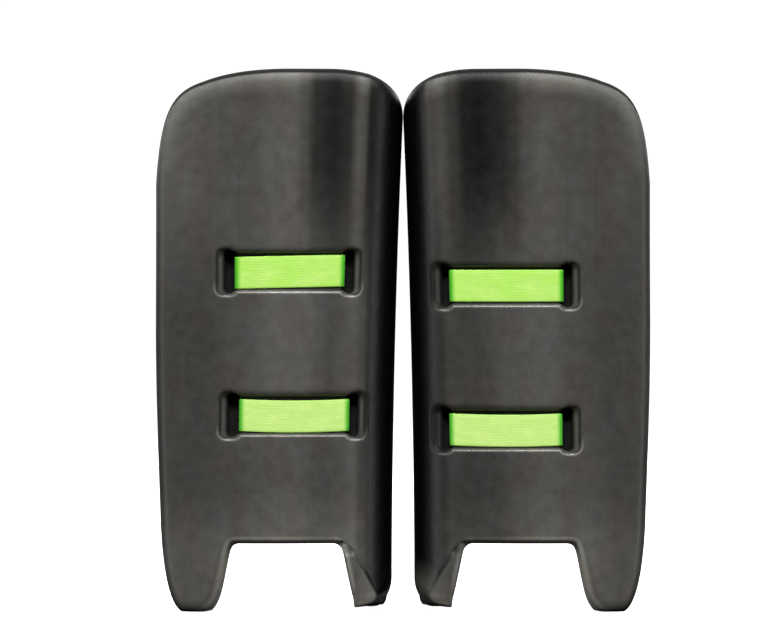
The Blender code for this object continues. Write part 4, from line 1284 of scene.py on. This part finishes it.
# ---------------------------------------------------------------- soft linings
@dataclass
class SoftPad:
    """One soft lining at the back of a shell, swelled by a cloth simulation."""

    side: Side
    words: str
    s0: float
    s1: float
    z0: float
    z1: float
    depth: float
    corner_radius: float
    channels: int
    swell: float
    gap: float = 0.0012
    edge_profile: Profile = (
        (0.02, 0.0060), (0.08, 0.0028), (0.30, 0.0015), (0.62, 0.0022), (0.88, 0.0062), (1.0, 0.0120),
    )
    held_share: float = 0.16
    seam_inset: float = 0.0015
    cord_radius: float = 0.0015
    stitch_pitch: float = 0.0052
    voxel: float = 0.0042
    frames: int = 20

    def ring(self, inset: float) -> list[tuple[float, float]]:
        """Return the pad's flat outline, drawn in by an inset."""
        half = 0.5 * (self.z1 - self.z0)
        middle = 0.5 * (self.z0 + self.z1)
        radius = self.corner_radius - 0.5 * inset
        ring = rounded_rectangle(self.s0 + inset, self.s1 - inset, half - inset, radius, 8)
        return [(s, middle + z) for s, z in ring]

    def seams(self) -> list[float]:
        """Return the heights of the sewn channels across the pad."""
        return [self.z0 + (self.z1 - self.z0) * k / (self.channels + 1) for k in range(1, self.channels + 1)]

    def pinch(self, z: Array, reach: float) -> Array:
        """Return how close each height is to a sewn channel, from 0 to 1."""
        out = np.zeros_like(z)
        for seam in self.seams():
            out = np.maximum(out, np.exp(-(((z - seam) / reach) ** 2)))
        return out

    def flat_form(self) -> Piece:
        """Return the pad's starting form, a little smaller than the pad."""
        rings = []
        start = self.depth - 0.75 * self.swell
        for share, inset in self.edge_profile:
            rings.append([(s, start * share, z) for s, z in self.ring(min(inset, 0.3 * (self.s1 - self.s0)))])
        piece = lofted(rings, self.side.name(self.words, "form"))
        apply_modifier(piece, "REMESH", mode="VOXEL", voxel_size=self.voxel, adaptivity=0.0)
        points = read_points(piece)
        squeeze = 1.0 - 0.62 * self.pinch(points[:, 2], 0.0060)
        points[:, 1] *= squeeze
        write_points(piece, points)
        return piece

    def simulate(self, piece: Piece) -> None:
        """Swell the form with air pressure, held at its sewn channels and back."""
        rest = read_points(piece)
        held = self.pinch(rest[:, 2], 0.0026) > 0.62
        held |= rest[:, 1] < self.held_share * self.depth
        group = piece.vertex_groups.new(name="sewn")
        group.add([int(i) for i in np.flatnonzero(held)], 1.0, "REPLACE")
        cloth = piece.modifiers.new("swell", "CLOTH")
        cloth.settings.quality = 6
        cloth.settings.mass = 0.25
        cloth.settings.use_pressure = True
        cloth.settings.uniform_pressure_force = 4.0
        cloth.settings.vertex_group_mass = "sewn"
        cloth.settings.effector_weights.gravity = 0.0
        cloth.collision_settings.use_collision = False
        cloth.point_cache.frame_start = 1
        cloth.point_cache.frame_end = self.frames
        scene = bpy.context.scene
        for number in range(1, self.frames + 1):
            scene.frame_set(number)
        evaluated = piece.evaluated_get(bpy.context.evaluated_depsgraph_get())
        moved = np.zeros(len(rest) * 3)
        evaluated.data.vertices.foreach_get("co", moved)
        piece.modifiers.remove(cloth)
        piece.vertex_groups.clear()
        scene.frame_set(1)
        shift = moved.reshape(-1, 3) - rest
        length = np.linalg.norm(shift, axis=1)
        shift *= np.minimum(1.0, self.swell / np.maximum(length, 1e-9))[:, None]
        write_points(piece, rest + shift)

    def bend(self, piece: Piece) -> None:
        """Lay a flat piece against the back of the shell."""
        points = read_points(piece)
        s = points[:, 0]
        depth = FORM.thickness(s) + self.gap + np.clip(points[:, 1], 0.0, self.depth)
        places = np.stack((s, points[:, 2], depth), axis=1)
        keep_sheet_places(piece, places)
        write_points(piece, self.side.placed(FORM.bent(places)))
        face_outwards(piece)

    def binding(self, finishes: Finishes) -> Piece:
        """Build the cord binding round the pad's edge."""
        path = self.ring(self.seam_inset)
        middle = np.array([(s, 0.36 * self.depth, z) for s, z in path])
        bm = bmesh.new()
        loops = []
        count = len(middle)
        for i in range(count):
            ahead = Vector(middle[(i + 1) % count] - middle[i - 1]).normalized()
            out = Vector((ahead.z, 0.0, -ahead.x))
            ring = []
            for k in range(10):
                a = 2.0 * math.pi * k / 10.0
                offset = out * math.cos(a) * self.cord_radius
                offset += Vector((0.0, math.sin(a) * self.cord_radius, 0.0))
                ring.append(bm.verts.new(Vector(middle[i]) + offset))
            loops.append(ring)
        for a, b in zip(loops, loops[1:] + loops[:1]):
            for k in range(10):
                bm.faces.new((a[k], a[(k + 1) % 10], b[(k + 1) % 10], b[k]))
        piece = object_from(bm, self.side.name(self.words, "binding"))
        self.bend(piece)
        apply_modifier(piece, "SUBSURF", levels=1, render_levels=1)
        shade(piece, 60.0)
        return dress(piece, self.side.guard_body, "soft_lining", finishes.binding)

    def stitches(self, finishes: Finishes, pad: Piece) -> Optional[Piece]:
        """Build the thread along the sewn channels, just proud of the pad."""
        if not self.seams():
            return None
        flat = np.zeros(len(pad.data.vertices) * 3)
        pad.data.attributes["sheet"].data.foreach_get("vector", flat)
        flat = flat.reshape(-1, 3)
        bm = bmesh.new()
        count = int((self.s1 - self.s0 - 0.012) / self.stitch_pitch)
        for seam in self.seams():
            for k in range(count):
                s = self.s0 + 0.006 + self.stitch_pitch * (k + 0.5)
                gap = (flat[:, 0] - s) ** 2 + (flat[:, 1] - seam) ** 2
                near = np.flatnonzero(gap < 0.004 ** 2)
                if len(near) == 0:
                    continue
                depth = float(flat[near, 2].max()) + 0.0002
                add_stitch(
                    bm, Vector((s, seam, depth)), Vector((0.0042, 0.0, 0.0)), Vector((0.0, 0.00045, 0.0)),
                    Vector((0.0, 0.0, 0.00035)), 0.38, 0.0006,
                )
        piece = object_from(bm, self.side.name(self.words, "stitching"))
        write_points(piece, self.side.placed(FORM.bent(read_points(piece))))
        face_outwards(piece)
        shade(piece, 70.0)
        return dress(piece, self.side.guard_body, "soft_lining", finishes.dark_thread)

    def build(self, finishes: Finishes) -> Piece:
        """Swell, bend and dress the pad with its binding and stitches.

        Args:
            finishes: the materials of the pair.

        Returns:
            The finished pad.
        """
        piece = self.flat_form()
        self.simulate(piece)
        apply_modifier(piece, "SMOOTH", factor=0.5, iterations=2)
        self.bend(piece)
        apply_modifier(piece, "SUBSURF", levels=1, render_levels=1)
        shade(piece, 60.0)
        piece.name = self.side.name(self.words, "padding")
        dress(piece, self.side.guard_body, "soft_lining", finishes.lining, [self.side.name(self.words)])
        self.binding(finishes)
        self.stitches(finishes, piece)
        return piece


@dataclass
class Linings:
    """The shin lining and the three outer bolsters of one guard."""

    side: Side
    slot_clearance: float = 0.0120
    strap_clearance: float = 0.038
    shin_span: tuple[float, float] = (0.096, 0.590)
    shin_depth: float = 0.012
    bolster_reach: tuple[float, float] = (0.036, 0.080)
    bolster_depth: float = 0.028

    def build(self, finishes: Finishes) -> None:
        """Build the four pads."""
        recesses = RECESSES[self.side]
        upper = recesses[Level.UPPER].height
        lower = recesses[Level.LOWER].height
        clear = self.strap_clearance
        left = max(r.outer for r in recesses.values()) + self.slot_clearance
        right = min(r.inner for r in recesses.values()) - self.slot_clearance
        low, high = self.shin_span
        shin_pad = SoftPad(
            self.side, "shin_pad", left, right, low, high, self.shin_depth,
            corner_radius=0.022, channels=6, swell=0.0045,
        )
        shin_pad.build(finishes)
        spans = (
            ("bolster_upper", upper + clear, min(upper + 0.162, 0.556)),
            ("bolster_middle", lower + clear, upper - clear),
            ("bolster_lower", lower - 0.125, lower - clear),
        )
        for words, low, high in spans:
            bolster = SoftPad(
                self.side, words, *self.bolster_reach, low, high, self.bolster_depth,
                corner_radius=0.012, channels=0, swell=0.0060,
            )
            bolster.build(finishes)


# ---------------------------------------------------------------- straps and buckles
@dataclass
class Strap:
    """One strap of a guard: two webbing runs, their keeper and their buckle."""

    side: Side
    level: Level
    width: float = 0.038
    thickness: float = 0.0018
    bed_depth: float = 0.0064
    turn_radius: float = 0.0039
    slot_play: float = 0.0007
    slot_half_length: float = 0.0075
    hinge_clearance: float = 0.0030
    arc_radius: float = 0.1527
    mouth_angle: float = math.radians(59.9)
    socket_length: float = 0.0440
    clip_length: float = 0.0210
    bar_length: float = 0.0040
    fold_radius: float = 0.0033
    layer_pitch: float = 0.0024
    socket_tail: tuple[int, int] = (26, 35)
    clip_tail: tuple[int, int] = (22, 70)
    hinge_stations: int = 4
    hem_rows: tuple[float, float] = (0.0045, 0.0085)
    hem_stitches: int = 11
    hem_pitch: float = 0.0031

    def __post_init__(self) -> None:
        """Work out the hinge behind the outer slot."""
        self.recess = RECESSES[self.side][self.level]
        s = self.recess.outer + self.slot_half_length + self.slot_play - self.turn_radius
        self.hinge = FORM.bent_point(s, self.recess.height, self.back_of(s))

    def back_of(self, s: float) -> float:
        """Return the depth just behind the foam at a place across the sheet."""
        return float(FORM.thickness(np.array([s]))[0]) + self.hinge_clearance

    def key(self, *words: str) -> str:
        """Return a piece or body name of this strap."""
        return self.side.name(self.level.value, *words)

    def polar(self, arc: float, offset: float) -> Vector:
        """Return a plan point on the buckle's arc, arc metres past its mouth."""
        angle = self.mouth_angle + arc / self.arc_radius
        rho = self.arc_radius + offset
        return Vector((self.hinge.x + rho * math.cos(angle), self.hinge.y + rho * math.sin(angle)))

    def heading(self, arc: float) -> Vector:
        """Return the plan direction of rising arc at a place on the arc."""
        angle = self.mouth_angle + arc / self.arc_radius
        return Vector((-math.sin(angle), math.cos(angle)))

    @staticmethod
    def shifted(path: Sequence[Vector], offset: float) -> list[Vector]:
        """Return a plan path moved sideways, to its left for a positive offset."""
        out = []
        last = len(path) - 1
        for i, p in enumerate(path):
            ahead = (path[min(i + 1, last)] - path[max(i - 1, 0)]).normalized()
            out.append(p + Vector((-ahead.y, ahead.x)) * offset)
        return out

    def fold(self, bar_arc: float, sign: float) -> list[Vector]:
        """Return the half turn of webbing round a buckle bar."""
        out = []
        for k in range(1, 14):
            angle = math.radians(-90.0 + 180.0 * k / 14.0)
            arc = bar_arc + sign * self.fold_radius * math.cos(angle)
            out.append(self.polar(arc, self.fold_radius * math.sin(angle)))
        return out

    def socket_path(self) -> list[Vector]:
        """Return the plan path from the inner slot round the socket's bar."""
        s = self.recess.inner - self.slot_half_length - self.slot_play + self.turn_radius
        leave = FORM.bent_point(s, self.recess.height, self.back_of(s))
        start = Vector((leave.x, leave.y))
        bar = -self.socket_length + self.bar_length
        join = bar - 0.012
        meet = self.polar(join, -self.fold_radius)
        sweep = bezier((start, start + Vector((0.0, 0.040)), meet - self.heading(join) * 0.036, meet), 36)
        sweep.append(meet)
        path = list(sweep)
        path += [self.polar(bar - run, -self.fold_radius) for run in (0.009, 0.006, 0.003, 0.0)]
        path += self.fold(bar, 1.0)
        path += [self.polar(bar - run, self.fold_radius) for run in (0.0, 0.003, 0.006, 0.009)]
        first, last = self.socket_tail
        tail = self.shifted(sweep[first:last], -self.layer_pitch)
        return path + list(reversed(tail))

    def clip_path(self) -> list[Vector]:
        """Return the plan path of the outer run, round the clip's bar and back."""
        start = Vector((self.hinge.x, self.hinge.y + 0.001))
        bar = self.clip_length - self.bar_length
        join = bar + 0.013
        meet = self.polar(join, -self.fold_radius)
        out = Vector((math.cos(math.radians(94.0)), math.sin(math.radians(94.0))))
        sweep = bezier((start, start + out * 0.088, meet + self.heading(join) * 0.058, meet), 72)
        sweep.append(meet)
        path = list(sweep)
        path += [self.polar(bar + run, -self.fold_radius) for run in (0.010, 0.006, 0.003, 0.0)]
        path += self.fold(bar, -1.0)
        path += [self.polar(bar + run, self.fold_radius) for run in (0.0, 0.003, 0.006, 0.010)]
        first, last = self.clip_tail
        tail = self.shifted(sweep[first:last], self.layer_pitch)
        return path + list(reversed(tail))

    def slot_stations(self) -> list[Station]:
        """Return the stations through both slots and along the channel."""
        recess = self.recess
        leave_outer = recess.outer + self.slot_half_length + self.slot_play
        turn_inner = recess.inner - self.slot_half_length - self.slot_play
        turn_outer = leave_outer + recess.outer_slack
        turn_depth = self.bed_depth + self.turn_radius
        back = FORM.foam + self.hinge_clearance - 0.001
        r = self.turn_radius
        sheet: list[tuple[float, float, float]] = []
        for k in range(11):
            share = 1.0 - k / 10.0
            s = turn_outer - r + (leave_outer - turn_outer) * share
            sheet.append((s, turn_depth + (back - turn_depth) * share, share))
        for k in range(1, 9):
            a = math.radians(90.0 * k / 8.0)
            sheet.append((turn_outer - r * math.cos(a), turn_depth - r * math.sin(a), 0.0))
        steps = 84
        for k in range(1, steps):
            sheet.append((turn_outer + (turn_inner - turn_outer) * k / steps, self.bed_depth, 0.0))
        for k in range(9):
            a = math.radians(90.0 - 90.0 * k / 8.0)
            sheet.append((turn_inner + r * math.cos(a), turn_depth - r * math.sin(a), 0.0))
        for k in range(1, 9):
            share = k / 10.0
            sheet.append((turn_inner + r, turn_depth + (back - turn_depth) * share, share))
        stations = []
        upright = Vector((0.0, 0.0, 1.0))
        middle = 0.5 * (turn_outer + turn_inner)
        half = 0.5 * (turn_inner - turn_outer)
        for s, d, share in sheet:
            place = max(-1.0, min(1.0, (s - middle) / half))
            drop = (recess.tilt * place - recess.sag * (1.0 - place * place)) * (1.0 - share)
            across = FORM.width_direction(s, recess.height).lerp(upright, share).normalized()
            # The tuck share marks where the webbing turns into a slot; the webbing finish paints shade there.
            tuck = 0.0
            if share < 0.95:
                tuck = float(eased(np.array(abs(s - middle)), half - 0.0040, half + 0.5 * r))
            stations.append((FORM.bent_point(s, recess.height, d) + across * drop, across, tuck))
        return stations

    def upright(self, path: Sequence[Vector]) -> list[Station]:
        """Return ribbon stations for a plan path at the strap's height."""
        up = Vector((0.0, 0.0, 1.0))
        return [(Vector((p.x, p.y, self.hinge.z)), up, 0.0) for p in path]

    def ribbon(self, stations: Sequence[Station], name: str) -> Piece:
        """Build flat webbing with a rounded selvedge and its own weave map.

        Args:
            stations: centre, width direction and tuck into a slot at each step.
            name: the piece's name.

        Returns:
            The ribbon in the pair's frame.
        """
        half = 0.5 * self.width
        thick = 0.5 * self.thickness
        top = [(-half, 0.35), (-half + 0.0006, 0.85)]
        top += [(-half + 0.0016 + (self.width - 0.0032) * k / 8.0, 1.0) for k in range(9)]
        top += [(half - 0.0006, 0.85), (half, 0.35)]
        profile = [(v, t * thick) for v, t in top] + [(v, -t * thick) for v, t in reversed(top)]
        bm = bmesh.new()
        layer = bm.loops.layers.uv.new("weave")
        loops: list[list[bmesh.types.BMVert]] = []
        runs: list[float] = []
        travelled = 0.0
        last = len(stations) - 1
        tucks = bm.verts.layers.float.new("tuck")
        for i, (centre, across, tuck) in enumerate(stations):
            if i:
                travelled += (centre - stations[i - 1][0]).length
            runs.append(travelled)
            ahead = stations[min(i + 1, last)][0] - stations[max(i - 1, 0)][0]
            normal = ahead.cross(across).normalized()
            loops.append([bm.verts.new(centre + across * v + normal * t) for v, t in profile])
            for vert in loops[-1]:
                vert[tucks] = tuck
        count = len(profile)
        for i in range(last):
            for k in range(count):
                j = (k + 1) % count
                face = bm.faces.new((loops[i][k], loops[i][j], loops[i + 1][j], loops[i + 1][k]))
                marks = ((i, k), (i, j), (i + 1, j), (i + 1, k))
                for corner_loop, (row, column) in zip(face.loops, marks):
                    corner_loop[layer].uv = (runs[row], profile[column][0])
        for ring, row in ((loops[0], 0), (loops[-1], last)):
            face = bm.faces.new(ring)
            for corner_loop, (v, t) in zip(face.loops, profile):
                corner_loop[layer].uv = (runs[row] + t, v)
        piece = object_from(bm, name)
        write_points(piece, self.side.placed(read_points(piece)))
        face_outwards(piece)
        shade(piece, 50.0)
        return piece

    def hem(self, path: Sequence[Vector], name: str, body: str, outward: float, finishes: Finishes) -> Piece:
        """Build two rows of hem stitches across the free end of a run.

        Args:
            path: plan path of the run, its free end last.
            name: the piece's name.
            body: the body it rides on.
            outward: which side of the run the stitches show on, +1 or -1.
            finishes: the materials of the pair.

        Returns:
            The finished stitching.
        """
        bm = bmesh.new()
        lift = 0.5 * self.thickness + 0.00012
        for back in self.hem_rows:
            travelled = 0.0
            i = len(path) - 1
            while travelled < back:
                travelled += (path[i] - path[i - 1]).length
                i -= 1
            step = max((path[i + 1] - path[i]).length, 1e-9)
            p = path[i + 1].lerp(path[i], 1.0 - (travelled - back) / step)
            ahead = (path[i + 1] - path[i]).normalized()
            left = Vector((-ahead.y, ahead.x)) * outward
            for k in range(self.hem_stitches):
                height = self.hinge.z + (k - self.hem_stitches // 2) * self.hem_pitch
                centre = (p + left * lift).to_3d() + Vector((0.0, 0.0, height))
                add_stitch(
                    bm, centre, Vector((0.0, 0.0, 0.0026)), ahead.to_3d() * 0.00040,
                    left.to_3d() * 0.00030, 0.36,
                )
        piece = object_from(bm, name)
        write_points(piece, self.side.placed(read_points(piece)))
        face_outwards(piece)
        shade(piece, 70.0)
        return dress(piece, body, "green_webbing", finishes.green_thread)

    def refine(self, node: str, name: str, bevel: float) -> Piece:
        """Copy a CAD node's mesh, merge it and give it rounded moulded edges."""
        source = frame["nodes"][node]
        piece = bpy.data.objects.new(name, source.data.copy())
        bpy.context.scene.collection.objects.link(piece)
        select_only(piece)
        bpy.ops.object.mode_set(mode="EDIT")
        bpy.ops.mesh.select_all(action="SELECT")
        bpy.ops.mesh.remove_doubles(threshold=0.00001)
        bpy.ops.mesh.tris_convert_to_quads(
            face_threshold=math.radians(2.0), shape_threshold=math.radians(60.0),
        )
        bpy.ops.mesh.dissolve_limited(angle_limit=math.radians(0.6))
        bpy.ops.object.mode_set(mode="OBJECT")
        apply_modifier(
            piece, "BEVEL", width=bevel, segments=2, limit_method="ANGLE",
            angle_limit=math.radians(28.0), use_clamp_overlap=True, harden_normals=False,
        )
        face_outwards(piece)
        shade(piece, 34.0)
        return piece

    def build(self, finishes: Finishes) -> None:
        """Build both webbing runs, the keeper and the buckle."""
        guard = self.side.guard_body
        swing = self.key("swing")
        slots = self.slot_stations()
        socket_path = self.socket_path()
        clip_path = self.clip_path()
        split = self.hinge_stations
        main = self.ribbon(slots[split:] + self.upright(socket_path), self.key("webbing_main"))
        dress(main, guard, "green_webbing", finishes.webbing, [self.key("strap_main")])
        lead = list(reversed(slots[:split + 1]))
        outer = self.ribbon(lead + self.upright(clip_path), self.key("webbing_outer"))
        dress(outer, None, "green_webbing", finishes.webbing, [self.key("strap_outer")])
        pivot = self.side.placed(np.array([self.hinge]))[0]
        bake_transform(outer)
        self.hem(clip_path, self.key("outer_hem_stitching"), swing, -1.0, finishes)
        self.hem(socket_path, self.key("main_hem_stitching"), guard, 1.0, finishes)
        parts = (
            ("strap_keeper", "keeper_loop", swing, 0.0006),
            ("buckle_socket", "socket_housing", guard, 0.0007),
            ("buckle_clip", "clip_frame", swing, 0.0006),
            ("clip_arm_a", "spring_arm_a", self.key("arm_a"), 0.0005),
            ("clip_arm_b", "spring_arm_b", self.key("arm_b"), 0.0005),
        )
        for node, words, body, bevel in parts:
            piece = self.refine(self.key(node), self.key(words), bevel)
            dress(piece, body, "black_plastic", finishes.plastic, [self.key(node)])


# ---------------------------------------------------------------- studio
@dataclass
class Studio:
    """Camera, soft lights, white surroundings and the pale floor."""

    camera_distance: float = 3.2315
    camera_height: float = 0.350
    lens: float = 123.0
    shift: tuple[float, float] = (-0.0167, 0.0022)
    cast_glow: float = 0.030
    seen_glow: float = 1.05

    @staticmethod
    def softbox(
        name: str, place: Sequence[float], aim: Sequence[float], size: tuple[float, float], power: float
    ) -> None:
        """Add one rectangular soft light aimed at a point.

        Args:
            name: the light's name.
            place: where it stands.
            aim: the point it looks at.
            size: its width and height.
            power: its power in watts.
        """
        light = bpy.data.lights.new(name, "AREA")
        light.shape = "RECTANGLE"
        light.size, light.size_y = size
        light.energy = power
        made = bpy.data.objects.new(name, light)
        bpy.context.scene.collection.objects.link(made)
        made.location = place
        made.rotation_mode = "QUATERNION"
        made.rotation_quaternion = (Vector(aim) - Vector(place)).to_track_quat("-Z", "Y")

    def lights(self) -> None:
        """Add the soft studio lights."""
        self.softbox("front_top_box", (0.0, -2.3, 3.0), (0.0, 0.0, 0.35), (2.2, 0.9), 138.0)
        self.softbox("back_top_box", (0.0, 1.9, 3.2), (0.0, 0.1, 0.3), (2.4, 1.2), 60.0)
        for name, sign in (("left", -1.0), ("right", 1.0)):
            self.softbox(name + "_box", (2.9 * sign, -2.2, 1.0), (0.15 * sign, 0.0, 0.35), (0.9, 1.8), 16.0)
            self.softbox("back_" + name + "_box", (2.6 * sign, 2.4, 1.6), (0.0, 0.0, 0.3), (1.2, 1.6), 62.0)

    def surroundings(self) -> None:
        """Show white all round, with only a faint light from it."""
        world = bpy.data.worlds.new("white_surroundings")
        world.use_nodes = True
        tree = world.node_tree
        tree.nodes.clear()
        cast, seen = (tree.nodes.new("ShaderNodeBackground") for _ in range(2))
        for background, strength in ((cast, self.cast_glow), (seen, self.seen_glow)):
            background.inputs["Color"].default_value = (1.0, 1.0, 1.0, 1.0)
            background.inputs["Strength"].default_value = strength
        path = tree.nodes.new("ShaderNodeLightPath")
        mix = tree.nodes.new("ShaderNodeMixShader")
        out = tree.nodes.new("ShaderNodeOutputWorld")
        tree.links.new(path.outputs["Is Camera Ray"], mix.inputs[0])
        tree.links.new(cast.outputs[0], mix.inputs[1])
        tree.links.new(seen.outputs[0], mix.inputs[2])
        tree.links.new(mix.outputs[0], out.inputs["Surface"])
        bpy.context.scene.world = world

    def floor(self) -> None:
        """Lay the pale floor."""
        for other in bpy.context.view_layer.objects:
            other.select_set(False)
        bpy.ops.mesh.primitive_plane_add(size=60.0, location=(0.0, 0.0, -0.0004))
        floor = bpy.context.active_object
        floor.name = "studio_floor"
        floor.data.materials.append(FloorFinish().build())
        floor.visible_diffuse = False
        floor.visible_glossy = False

    def camera(self) -> None:
        """Place the camera in front of the pair."""
        data = bpy.data.cameras.new("front_camera")
        data.lens = self.lens
        data.sensor_width = 36.0
        data.shift_x, data.shift_y = self.shift
        data.clip_end = 200.0
        made = bpy.data.objects.new("front_camera", data)
        bpy.context.scene.collection.objects.link(made)
        made.location = (0.0, -self.camera_distance, self.camera_height)
        made.rotation_euler = (math.radians(90.0), 0.0, 0.0)
        bpy.context.scene.camera = made

    def build(self) -> None:
        """Set up the whole studio."""
        self.camera()
        self.lights()
        self.surroundings()
        self.floor()
        bpy.context.scene.view_settings.view_transform = "Standard"


def write_sizes() -> None:
    """Update the view layer so that every placement is current."""
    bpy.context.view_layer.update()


def main() -> None:
    """Build and dress the whole pair."""
    logging.basicConfig(level=logging.INFO, format="%(message)s")
    Studio().build()
    finishes = Finishes()
    for side in Side:
        FoamShell(side).build(finishes)
        Linings(side).build(finishes)
        for level in Level:
            Strap(side, level).build(finishes)
    write_sizes()


if __name__ == "__main__":
    main()
